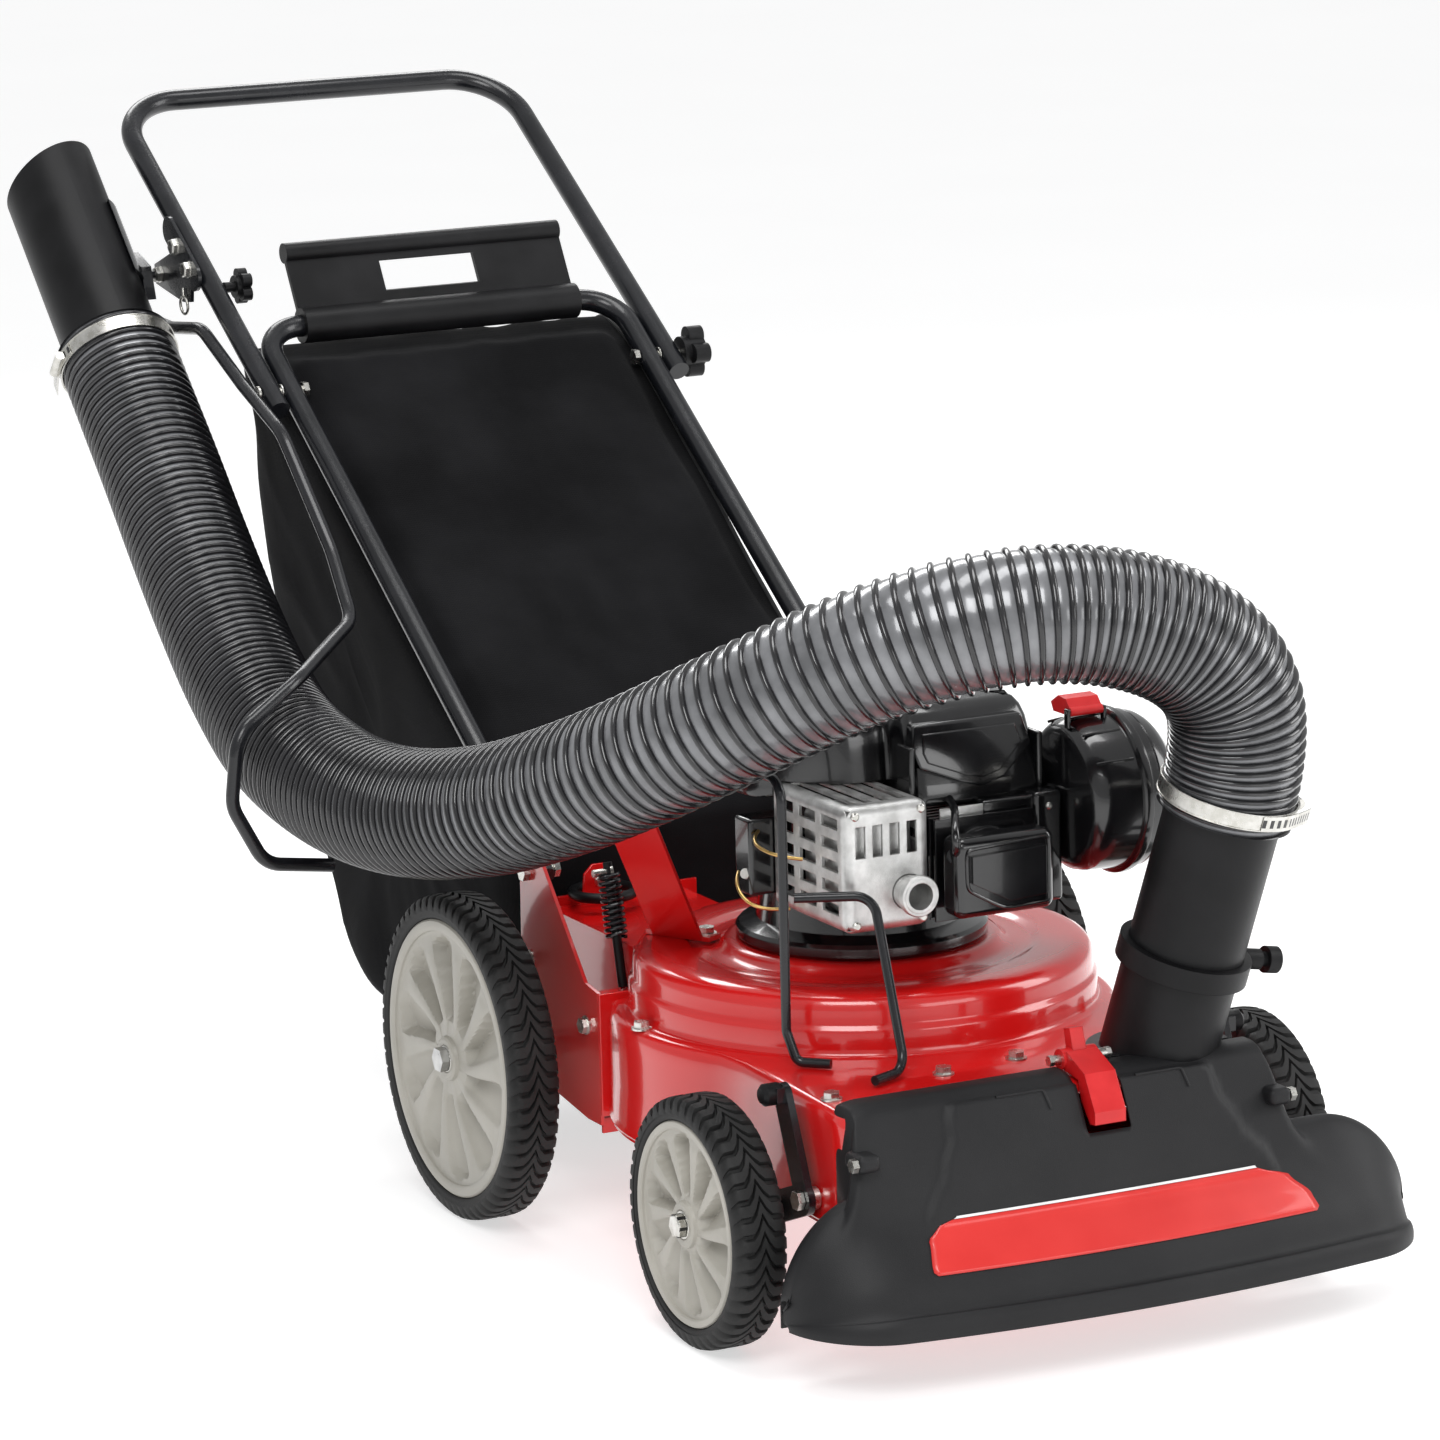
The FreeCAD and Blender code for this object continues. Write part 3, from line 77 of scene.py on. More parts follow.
def surface(name, dark, light, roughness, metallic=0.0, coat=0.0, sheen=0.0, mottle=14.0, grain=900.0,
            bump=0.15, spread=0.1, specular=0.5, rounded=0.0):
    """A finish whose colour drifts between two tones, with uneven gloss and a fine grain.

    spread is how far the roughness varies each way, and rounded is the shaded radius of sharp edges, in millimetres.
    """
    material = bpy.data.materials.new(name)
    material.use_nodes = True
    nodes, links = material.node_tree.nodes, material.node_tree.links
    shader = nodes["Principled BSDF"]
    settings = {"Metallic": metallic, "Coat Weight": coat, "Coat Roughness": 0.06, "Sheen Weight": sheen,
                "Sheen Roughness": 0.45, "Specular IOR Level": specular}
    for socket, value in settings.items():
        shader.inputs[socket].default_value = value
    place = nodes.new("ShaderNodeTexCoord")
    broad = nodes.new("ShaderNodeTexNoise")
    broad.inputs["Scale"].default_value = mottle
    broad.inputs["Detail"].default_value = 6.0
    links.new(place.outputs["Object"], broad.inputs["Vector"])
    tones = nodes.new("ShaderNodeValToRGB")
    for element, position, colour in zip(tones.color_ramp.elements, (0.35, 0.68), (dark, light)):
        element.position, element.color = position, (*colour, 1.0)
    links.new(broad.outputs["Fac"], tones.inputs["Fac"])
    links.new(tones.outputs["Color"], shader.inputs["Base Color"])
    gloss = nodes.new("ShaderNodeMapRange")
    gloss.inputs["To Min"].default_value = max(0.02, roughness - spread)
    gloss.inputs["To Max"].default_value = roughness + spread
    links.new(broad.outputs["Fac"], gloss.inputs["Value"])
    links.new(gloss.outputs["Result"], shader.inputs["Roughness"])
    fine = nodes.new("ShaderNodeTexNoise")
    fine.inputs["Scale"].default_value = grain
    fine.inputs["Detail"].default_value = 3.0
    links.new(place.outputs["Object"], fine.inputs["Vector"])
    relief = nodes.new("ShaderNodeBump")
    relief.inputs["Strength"].default_value = bump
    relief.inputs["Distance"].default_value = 0.0004
    links.new(fine.outputs["Fac"], relief.inputs["Height"])
    if rounded:
        edge = nodes.new("ShaderNodeBevel")
        edge.samples = 4
        edge.inputs["Radius"].default_value = rounded / 1000.0
        links.new(edge.outputs["Normal"], relief.inputs["Normal"])
    links.new(relief.outputs["Normal"], shader.inputs["Normal"])
    return material


def cloth_surface():
    """Coarse black polyester: crossed threads, a little fuzz and a soft sheen."""
    material = surface("bag_cloth", (0.004, 0.004, 0.0045), (0.010, 0.010, 0.011), 0.90, sheen=0.03, mottle=9.0,
                       bump=0.35, specular=0.06)
    nodes, links = material.node_tree.nodes, material.node_tree.links
    relief = [n for n in nodes if n.type == "BUMP"][0]
    place = [n for n in nodes if n.type == "TEX_COORD"][0]
    grain = [n for n in nodes if n.type == "TEX_NOISE"][1]
    threads = []
    for direction in ("X", "Z"):
        thread = nodes.new("ShaderNodeTexWave")
        thread.bands_direction = direction
        thread.inputs["Scale"].default_value = 210.0
        thread.inputs["Distortion"].default_value = 1.2
        thread.inputs["Detail Scale"].default_value = 3.0
        links.new(place.outputs["Object"], thread.inputs["Vector"])
        threads.append(thread.outputs["Fac"])
    weave = nodes.new("ShaderNodeMath")
    weave.operation = "MULTIPLY"
    links.new(threads[0], weave.inputs[0])
    links.new(threads[1], weave.inputs[1])
    fuzz = nodes.new("ShaderNodeMath")
    fuzz.operation = "ADD"
    links.new(weave.outputs[0], fuzz.inputs[0])
    links.new(grain.outputs["Fac"], fuzz.inputs[1])
    links.new(fuzz.outputs[0], relief.inputs["Height"])
    return material


RED_PAINT = surface("red_paint", (0.60, 0.006, 0.006), (0.69, 0.010, 0.010), 0.22, coat=0.8, mottle=5.0, grain=260.0,
                    bump=0.05, spread=0.04, rounded=1.2)
BLACK_PAINT = surface("black_paint", (0.004, 0.0045, 0.006), (0.009, 0.0095, 0.012), 0.26, coat=0.25, mottle=30.0,
                      grain=1400.0, bump=0.22, spread=0.07, specular=0.4, rounded=0.6)
BLACK_PLASTIC = surface("black_plastic", (0.004, 0.004, 0.0045), (0.009, 0.009, 0.010), 0.40, mottle=18.0,
                        grain=1800.0, bump=0.30, specular=0.22, rounded=1.0)
NOZZLE_PLASTIC = surface("nozzle_plastic", (0.007, 0.007, 0.008), (0.014, 0.014, 0.015), 0.50, mottle=7.0,
                         grain=1500.0, bump=0.40, spread=0.07, specular=0.3)
ENGINE_BLACK = surface("engine_black", (0.003, 0.003, 0.0035), (0.008, 0.008, 0.009), 0.18, coat=0.6, mottle=22.0,
                       grain=700.0, bump=0.10, spread=0.08, rounded=1.4)
BADGE_RED = surface("badge_red", (0.61, 0.014, 0.010), (0.66, 0.020, 0.015), 0.34, coat=0.4, mottle=20.0, bump=0.04)
BADGE_LINE = surface("badge_line", (0.70, 0.70, 0.70), (0.82, 0.82, 0.82), 0.35, mottle=30.0, bump=0.04)
RED_PLASTIC = surface("red_plastic", (0.55, 0.008, 0.010), (0.66, 0.016, 0.018), 0.33, mottle=40.0, bump=0.12,
                      rounded=1.2)
RIM_PLASTIC = surface("rim_plastic", (0.34, 0.325, 0.285), (0.43, 0.41, 0.365), 0.42, mottle=12.0, grain=1200.0,
                      bump=0.16)
TYRE_RUBBER = surface("tyre_rubber", (0.009, 0.009, 0.009), (0.021, 0.021, 0.021), 0.62, mottle=25.0, grain=1000.0,
                      bump=0.5, specular=0.3)
HOSE_RIB = surface("hose_rib", (0.008, 0.008, 0.009), (0.016, 0.016, 0.018), 0.16, mottle=40.0, bump=0.05,
                   spread=0.05, coat=0.4)
HOSE_WEB = surface("hose_web", (0.12, 0.122, 0.128), (0.24, 0.244, 0.256), 0.24, metallic=0.25, mottle=26.0,
                   grain=300.0, bump=0.10, spread=0.07, coat=0.5)
ZINC = surface("zinc", (0.52, 0.51, 0.47), (0.72, 0.71, 0.68), 0.28, metallic=1.0, mottle=120.0, grain=1600.0,
               bump=0.2, rounded=0.5)
STEEL = surface("steel", (0.40, 0.40, 0.40), (0.58, 0.58, 0.57), 0.30, metallic=1.0, mottle=80.0, bump=0.15,
                rounded=0.5)
CAST_SILVER = surface("cast_silver", (0.50, 0.50, 0.49), (0.74, 0.74, 0.73), 0.34, metallic=0.85, mottle=70.0,
                      grain=1100.0, bump=0.7, spread=0.12, rounded=1.2)
BRASS = surface("brass", (0.55, 0.36, 0.12), (0.72, 0.50, 0.20), 0.30, metallic=1.0, mottle=90.0, bump=0.1)
CERAMIC = surface("ceramic", (0.62, 0.61, 0.57), (0.74, 0.73, 0.70), 0.25, mottle=50.0, bump=0.05)
CLOTH = cloth_surface()
PIPING = surface("piping", (0.012, 0.012, 0.013), (0.028, 0.028, 0.03), 0.6, mottle=60.0, bump=0.4)

SLOT_FINISH = {
    "red_paint": RED_PAINT, "black_paint": BLACK_PAINT, "black_plastic": BLACK_PLASTIC, "badge_red": BADGE_RED,
    "red_plastic": RED_PLASTIC, "rim_plastic": RIM_PLASTIC, "tyre_rubber": TYRE_RUBBER, "hose_plastic": HOSE_WEB,
    "bag_cloth": CLOTH, "zinc": ZINC, "cast_silver": CAST_SILVER, "engine_black": ENGINE_BLACK,
    "engine_cast": ENGINE_BLACK, "steel": STEEL,
}

for subpart in frame["record"]["subparts"]:
    node = NODES[subpart["node"]]
    finish = SLOT_FINISH[subpart["material_slot"]]
    if not node.data.materials:
        node.data.materials.append(finish)
    for material_slot in node.material_slots:
        material_slot.link = "OBJECT"
        material_slot.material = finish
NODES["recoil_cover"].material_slots[0].material = BLACK_PLASTIC


# ---------------------------------------------------------------- camera, light and floor

camera = bpy.data.objects.new("camera", bpy.data.cameras.new("camera"))
camera.location = (-2.2599, -4.7006, 1.4870)
camera.rotation_euler = [math.radians(a) for a in (78.0465, 1.3697, -26.9199)]
camera.data.lens = 152.57
camera.data.clip_end = 250.0
bpy.context.scene.collection.objects.link(camera)
bpy.context.scene.camera = camera


def soft_box(name, place, target, width, height, power):
    """A rectangular light that faces its target."""
    light = bpy.data.lights.new(name, "AREA")
    light.shape = "RECTANGLE"
    light.size, light.size_y, light.energy = width, height, power
    lamp = bpy.data.objects.new(name, light)
    lamp.location = place
    lamp.rotation_euler = (Vector(target) - Vector(place)).to_track_quat("-Z", "Y").to_euler()
    bpy.context.scene.collection.objects.link(lamp)


# Name, place, target, width, height and power of each light.
soft_box("key", (-1.6, -2.6, 3.0), (0.0, 0.0, 0.3), 1.6, 1.6, 60.0)
soft_box("fill", (3.0, -1.6, 1.8), (0.0, 0.0, 0.4), 1.2, 2.2, 40.0)
soft_box("front", (0.9, -3.8, 1.1), (0.0, -0.5, 0.25), 1.8, 1.0, 16.0)
soft_box("rim", (0.8, 3.0, 2.6), (0.0, 0.0, 0.5), 2.4, 1.2, 50.0)
soft_box("top", (0.0, -0.2, 3.4), (0.0, 0.0, 0.3), 2.4, 1.0, 45.0)

WORLD_GLOW, FLOOR_GLOW, FLOOR_HALF = 0.55, 0.60, 120
world = bpy.data.worlds.new("studio")
world.use_nodes = True
world.node_tree.nodes["Background"].inputs["Color"].default_value = (0.97, 0.975, 0.98, 1.0)
world.node_tree.nodes["Background"].inputs["Strength"].default_value = WORLD_GLOW
bpy.context.scene.world = world
bpy.context.scene.view_settings.view_transform = "Standard"

floor_mesh = bpy.data.meshes.new("floor")
floor_mesh.from_pydata([(x * FLOOR_HALF, y * FLOOR_HALF, 0) for x, y in ((-1, -1), (1, -1), (1, 1), (-1, 1))],
                       [], [(0, 1, 2, 3)])
floor = bpy.data.objects.new("floor", floor_mesh)
bpy.context.scene.collection.objects.link(floor)
floor.data.materials.append(surface("floor", (0.60, 0.60, 0.60), (0.62, 0.62, 0.62), 0.7, mottle=2.0, bump=0.02))
floor_shader = floor.data.materials[0].node_tree.nodes["Principled BSDF"]
floor_shader.inputs["Emission Color"].default_value = (1.0, 1.0, 1.0, 1.0)
floor_shader.inputs["Emission Strength"].default_value = FLOOR_GLOW


# ---------------------------------------------------------------- mesh helpers

def piece(name, points, faces, materials, body="machine", nodes=(), slot=None, kinds=None, sharp=40.0):
    """A mesh of machine points in millimetres, shaded smooth except at sharp edges."""
    mesh = bpy.data.meshes.new(name)
    mesh.from_pydata([at(*p) for p in points], [], faces)
    for material in materials if isinstance(materials, (list, tuple)) else [materials]:
        mesh.materials.append(material)
    if kinds is not None:
        mesh.polygons.foreach_set("material_index", kinds)
    tidy = bmesh.new()
    tidy.from_mesh(mesh)
    bmesh.ops.remove_doubles(tidy, verts=tidy.verts, dist=1e-6)
    bmesh.ops.dissolve_degenerate(tidy, edges=tidy.edges, dist=1e-6)
    bmesh.ops.recalc_face_normals(tidy, faces=tidy.faces)
    tidy.to_mesh(mesh)
    tidy.free()
    mesh.shade_smooth()
    mesh.set_sharp_from_angle(angle=math.radians(sharp))
    obj = bpy.data.objects.new(name, mesh)
    bpy.context.scene.collection.objects.link(obj)
    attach(obj, body)
    if nodes:
        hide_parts(*nodes)
    return obj


def skin(rows, loop=True, wrap=False, caps=False):
    """Faces over rows of points. loop closes each row, wrap joins the last row to the first."""
    count = len(rows[0])
    points = [p for row in rows for p in row]
    faces = []
    for i in range(len(rows) if wrap else len(rows) - 1):
        j = (i + 1) % len(rows)
        for k in range(count if loop else count - 1):
            m = (k + 1) % count
            faces.append((i * count + k, i * count + m, j * count + m, j * count + k))
    if caps:
        faces.append(tuple(range(count)))
        faces.append(tuple(range((len(rows) - 1) * count, len(rows) * count)))
    return points, faces


def apply_modifiers(obj):
    """The object's mesh becomes what its modifiers make of it."""
    bpy.context.view_layer.update()
    made = bpy.data.meshes.new_from_object(obj.evaluated_get(bpy.context.evaluated_depsgraph_get()))
    obj.modifiers.clear()
    obj.data = made


def round_edges(obj, radius):
    """Bevels every edge of a solid to a radius in millimetres."""
    bevel = obj.modifiers.new("rounding", "BEVEL")
    bevel.width, bevel.segments = radius / 1000.0, 4
    apply_modifiers(obj)
    obj.data.shade_smooth()


def thicken(obj, thickness):
    """Gives an open skin a wall in millimetres, on the inner side of its faces."""
    wall = obj.modifiers.new("wall", "SOLIDIFY")
    wall.thickness, wall.offset = thickness / 1000.0, -1.0


def ring(middle, side, up, radius, around):
    """Points of a circle round middle, in the plane of side and up."""
    return [middle + (side * math.cos(t) + up * math.sin(t)) * radius
            for t in (2.0 * math.pi * k / around for k in range(around))]


def turned(name, profile, centre, axis, materials, around=64, **options):
    """Rings of (distance along axis, radius) pairs round an axis through centre."""
    axis = Vector(axis).normalized()
    side = axis.orthogonal().normalized()
    up = axis.cross(side)
    rows = [ring(Vector(centre) + axis * a, side, up, max(r, 0.01), around) for a, r in profile]
    return piece(name, *skin(rows), materials, **options)


def block(name, low, high, radius, materials, **options):
    """A box with rounded edges."""
    points = [(x, y, z) for x in (low[0], high[0]) for y in (low[1], high[1]) for z in (low[2], high[2])]
    faces = [(0, 1, 3, 2), (4, 6, 7, 5), (0, 4, 5, 1), (2, 3, 7, 6), (0, 2, 6, 4), (1, 5, 7, 3)]
    obj = piece(name, points, faces, materials, **options)
    round_edges(obj, radius)
    return obj


def frames_along(line):
    """Distances and turning-free cross frames along a polyline."""
    distances, frames = [0.0], []
    side = None
    for i, point in enumerate(line):
        before, after = line[max(i - 1, 0)], line[min(i + 1, len(line) - 1)]
        forward = (after - before).normalized()
        side = forward.orthogonal() if side is None else side - forward * side.dot(forward)
        side.normalize()
        frames.append((point, side.copy(), forward.cross(side)))
        if i:
            distances.append(distances[-1] + (point - line[i - 1]).length)
    return distances, frames


def cross_frame(distances, frames, s):
    """The cross frame at a distance along the line."""
    s = min(max(s, 0.0), distances[-1])
    low, high = 0, len(distances) - 1
    while high - low > 1:
        middle = (low + high) // 2
        if distances[middle] <= s:
            low = middle
        else:
            high = middle
    t = (s - distances[low]) / (distances[high] - distances[low])
    return [a.lerp(b, t) for a, b in zip(frames[low], frames[high])]


def spline_points(points, steps=16):
    """Points of a NURBS curve that has these machine points as its control points, in millimetres."""
    curve = bpy.data.curves.new("guide", "CURVE")
    curve.dimensions = "3D"
    curve.resolution_u = steps
    spline = curve.splines.new("NURBS")
    spline.points.add(len(points) - 1)
    for target, point in zip(spline.points, points):
        target.co = (*point, 1.0)
    spline.order_u = 3
    spline.use_endpoint_u = True
    guide = bpy.data.objects.new("guide", curve)
    line = [v.co.copy() for v in bpy.data.meshes.new_from_object(guide).vertices]
    bpy.data.objects.remove(guide)
    return line


def tube(name, points, radius, materials, around=16, steps=16, **options):
    """A round tube along a smooth line."""
    _, frames = frames_along(spline_points(points, steps))
    rows = [ring(point, side, up, radius, around) for point, side, up in frames]
    return piece(name, *skin(rows, caps=True), materials, **options)


# ---------------------------------------------------------------- hose

HOSE_ROUTE = [
    (151.84, -127.74, 408.07), (163.01, -143.50, 473.79), (136.0, -146.0, 540.0), (62.0, -126.0, 577.0),
    (-32.0, -94.0, 581.0), (-122.0, -34.0, 548.0), (-203.0, 50.0, 489.0), (-258.0, 170.0, 426.0),
    (-291.0, 330.0, 370.0), (-312.0, 500.0, 347.0), (-322.0, 650.0, 368.0), (-314.0, 758.0, 411.0),
    (-306.0, 842.0, 458.0), (-298.0, 925.0, 512.0), (-290.0, 1005.0, 568.0), (-284.0, 1078.16, 618.78),
    (-284.0, 1126.76, 664.90),
]
HOSE_R, HOSE_AROUND = 55.0, 48
# Share of the hose's length, and the distance between ribs there: it is pulled out over the engine.
HOSE_PITCH = [(0.0, 7.5), (0.10, 8.5), (0.20, 13.5), (0.42, 13.5), (0.55, 10.5), (0.66, 9.0), (0.80, 9.5),
              (1.0, 10.0)]
HOSE_RIB_W = 5.0
# The wall's depth below the rib's top, at shares of the rib's width and of the web's width.
RIB_WALL = [(0.0, 3.4), (0.08, 1.6), (0.25, 0.3), (0.5, 0.0), (0.75, 0.3), (0.92, 1.6)]
WEB_WALL = [(0.0, 3.4), (0.22, 3.1), (0.5, 3.0), (0.78, 3.1)]


def build_hose():
    """The hose as a helix of ribs and webs. Gives it and the points that it follows."""
    line = spline_points(HOSE_ROUTE, 48)
    distances, frames = frames_along(line)
    length = distances[-1]
    starts, s = [-16.0, -8.0], 0.0
    while s < length + 30.0:
        starts.append(s)
        s += between(HOSE_PITCH, s / length)
    # Distance along the hose, depth of the wall there, and whether it is web.
    stations = []
    for a, b in zip(starts, starts[1:]):
        edge = a + min(HOSE_RIB_W, 0.55 * (b - a))
        stations += [(mix(a, edge, share), depth, 0) for share, depth in RIB_WALL]
        stations += [(mix(edge, b, share), depth, 1) for share, depth in WEB_WALL]
    per_turn = len(RIB_WALL) + len(WEB_WALL)
    rows, kinds = [], []
    rings = len(stations) - per_turn
    for i in range(rings):
        row = []
        for k in range(HOSE_AROUND):
            s = mix(stations[i][0], stations[i + per_turn][0], k / HOSE_AROUND)
            depth = stations[i][1]
            point, side, up = cross_frame(distances, frames, s)
            angle = 2.0 * math.pi * k / HOSE_AROUND
            row.append(point + (side * math.cos(angle) + up * math.sin(angle)) * (HOSE_R - depth))
        rows.append(row)
    points = [p for row in rows for p in row]
    faces = []
    for i in range(rings - 1):
        for k in range(HOSE_AROUND):
            here, above = i * HOSE_AROUND + k, (i + 1) * HOSE_AROUND + k
            if k < HOSE_AROUND - 1:
                face = (here, here + 1, above + 1, above)
            elif i + per_turn + 1 < rings:
                face = (here, (i + per_turn) * HOSE_AROUND, (i + per_turn + 1) * HOSE_AROUND, above)
            else:
                continue
            faces.append(face)
            kinds.append(stations[i][2])
    hose = piece("hose_tube", points, faces, [HOSE_RIB, HOSE_WEB], nodes=["hose"], slot="hose_plastic", kinds=kinds,
                 sharp=60.0)
    return hose, [at(*p) for p in line]


hose_tube, hose_line = build_hose()


# ---------------------------------------------------------------- wheels

# Name, axle Y, radius, rim radius, X of the outer face and number of lugs.
WHEELS = [("front", 0.0, 101.6, 83.0, 272.0, 46), ("rear", 429.0, 139.7, 119.5, 281.0, 62)]
WHEEL_W = 45.0
# Share of a lug's pitch, and 1 where the tread stands there.
LUG = [(0.0, 0.0), (0.20, 0.0), (0.30, 1.0), (0.60, 1.0), (0.90, 1.0)]
SPOKES, SPOKE_STEPS, SCOOP = 10, 25, 12.5


def tyre(name, side, y, radius, rim_r, out_x, lugs):
    """Tyre with curved cross lugs that run over its shoulders."""
    rim_r += 0.1
    # Distance in from the outer face, radius, and depth of the grooves between the lugs.
    bead = [(3.0, rim_r, 0.0), (1.2, rim_r + 1.5, 0.0), (0.8, rim_r + 3.5, 0.0), (0.6, rim_r + 5.5, 0.0),
            (0.2, radius - 13.5, 0.0), (0.1, radius - 12.0, 1.6), (0.6, radius - 8.0, 2.4), (2.2, radius - 4.0, 3.0),
            (5.0, radius - 1.2, 3.4), (9.0, radius - 0.3, 3.6), (13.5, radius, 3.6), (18.0, radius, 3.6),
            (22.5, radius, 3.6)]
    profile = bead + [(WHEEL_W - a, r, d) for a, r, d in reversed(bead[:-1])]
    rows = []
    for a, r, depth in profile:
        across = abs(a - WHEEL_W / 2.0) / (WHEEL_W / 2.0)
        shear = 1.9 * across + 0.42 * math.sin(across * 5.2)
        row = []
        for lug in range(lugs):
            for phase, stands in LUG:
                angle = -2.0 * math.pi * (lug + phase - shear) / lugs
                here = r - depth * (1.0 - stands)
                row.append((side * (out_x - a), y + here * math.cos(angle), radius + here * math.sin(angle)))
        rows.append(row)
    piece("tyre_" + name + "_tread", *skin(rows, wrap=True), TYRE_RUBBER, body="wheel_" + name,
          nodes=["tyre_" + name], slot="tyre_rubber", sharp=48.0)


def spoke_depth(phase):
    """Depth of the face, as a share of SCOOP, across one blade's pitch: crowned blade, steep side, long scoop."""
    if phase < 0.34:
        return -0.09 * math.sin(math.pi * phase / 0.34)
    if phase < 0.42:
        return (phase - 0.34) / 0.08
    if phase < 0.92:
        return 1.0 - 0.72 * ((phase - 0.42) / 0.50) ** 1.2
    return 0.28 * (1.0 - phase) / 0.08


def rim(name, side, y, radius, rim_r, out_x):
    """Moulded wheel with ten swept blades, a hub boss and a rounded edge."""
    # Radius, and distance in from the outer face.
    face = [(7.0, 1.0), (11.5, 1.0), (12.5, 0.0), (16.5, 0.0), (18.5, 1.2), (19.5, 4.0), (0.27 * rim_r, 4.5)]
    face += [(mix(0.29, 0.89, k / 25.0) * rim_r, mix(4.5, 5.2, k / 25.0)) for k in range(26)]
    face += [(0.90 * rim_r, 4.9), (0.91 * rim_r, 4.2), (0.915 * rim_r, 2.4), (0.93 * rim_r, 1.3), (0.96 * rim_r, 0.8),
             (0.985 * rim_r, 1.2), (rim_r - 0.3, 2.6), (rim_r, 4.5), (rim_r, 43.0), (rim_r - 7.0, 43.0),
             (rim_r - 7.0, 17.0), (18.0, 17.0), (18.0, 42.0), (15.0, 45.0), (7.0, 45.0)]
    count = SPOKES * SPOKE_STEPS
    rows = []
    for r, depth in face:
        share = (r / rim_r - 0.25) / 0.65
        row = []
        for k in range(count):
            angle = 2.0 * math.pi * k / count
            # The blades sweep round as they run outwards, and their ends follow a rounded line.
            swept = angle + 0.42 * share - 0.20 * share * share
            phase = (swept * SPOKES / (2.0 * math.pi)) % 1.0
            reach = 1.0 - 0.22 * abs(phase - 0.72)
            within = 0.0 if depth > 16.9 else smooth(share / 0.16) * smooth((reach - share) / 0.10)
            here = depth + SCOOP * within * spoke_depth(phase)
            row.append((side * (out_x - here), y + r * math.cos(angle) * -side, radius + r * math.sin(angle)))
        rows.append(row)
    piece("rim_" + name + "_face", *skin(rows, wrap=True), RIM_PLASTIC, body="wheel_" + name,
          nodes=["rim_" + name], slot="rim_plastic", sharp=24.0)


for axle, axle_y, wheel_r, rim_radius, outer_x, lug_count in WHEELS:
    for side_name, wheel_side in SIDES:
        wheel_name = axle + "_" + side_name
        tyre(wheel_name, wheel_side, axle_y, wheel_r, rim_radius, outer_x, lug_count)
        rim(wheel_name, wheel_side, axle_y, wheel_r, rim_radius, outer_x)
        turned("hub_washer_" + wheel_name, [(-0.3, 7.0), (-0.3, 11.0), (0.4, 11.6), (1.0, 11.0), (1.0, 7.0)],
               (wheel_side * (outer_x - 0.9), axle_y, wheel_r), (wheel_side, 0, 0), ZINC,
               body="wheel_" + wheel_name, slot="zinc")


# ---------------------------------------------------------------- nozzle

NOZZLE_MID, NOZZLE_HALF, NOZZLE_FRONT, NOZZLE_FOOT = 31.0, 281.0, -228.0, 47.0
# The lip bows back on a wide arc. Towards each end the top falls on an ellipse and the front rounds off.
BOW_R = 1400.0
FALL_FROM, FALL_LENGTH, FALL_TOP, FALL_HEIGHT, WING_HEIGHT = 199.0, 82.0, 66.0, 84.0, 103.0
CORNER_FROM, CORNER_R = 215.0, 66.0
# Y and Z of the section through a wing and through the neck, point for point from the front lip to the rear.
WING = [(-228, 47), (-228, 55), (-226.5, 61), (-223.5, 65), (-220, 66), (-216, 69.5), (-205, 88), (-190, 105),
        (-172, 124), (-158, 138), (-149, 145.5), (-143, 148.5), (-137, 150), (-131, 148.5), (-127, 144), (-125, 137),
        (-124, 125), (-124, 90), (-124, 47)]
NECK = [(-228, 47), (-228, 55), (-226.5, 61), (-223.5, 65), (-220, 66), (-216, 70), (-206, 88.5), (-187, 108),
        (-169, 127), (-156, 154), (-144, 180), (-134, 200), (-128, 208.5), (-119, 213.2), (-108, 214), (-99.5, 213),
        (-96, 208), (-96, 205), (-96, 203)]
SECTION_END = 18.0
# Place along the section, with half the neck's width there, and the X of each side of its raised front panel.
NECK_HALF = [(0, 236), (6, 224), (8, 206), (10, 196), (12, 190.5), (18, 190.5)]
HUMP_RIGHT = [(7.2, -150), (8.2, -140), (9.2, -121), (10.2, -109), (12.0, -104)]
HUMP_LEFT = [(7.2, 186), (8.2, 172), (9.2, 151), (10.2, 137), (12.0, 131)]


def spline_value(keys, v):
    """A point of a short list of (Y, Z) keys, rounded between them."""
    i = min(int(v), len(keys) - 2)
    t = v - i
    a, b, c, d = keys[max(i - 1, 0)], keys[i], keys[i + 1], keys[min(i + 2, len(keys) - 1)]
    return [0.5 * (2 * b[n] + (c[n] - a[n]) * t + (2 * a[n] - 5 * b[n] + 4 * c[n] - d[n]) * t * t
                   + (3 * b[n] - a[n] - 3 * c[n] + d[n]) * t ** 3) for n in (0, 1)]


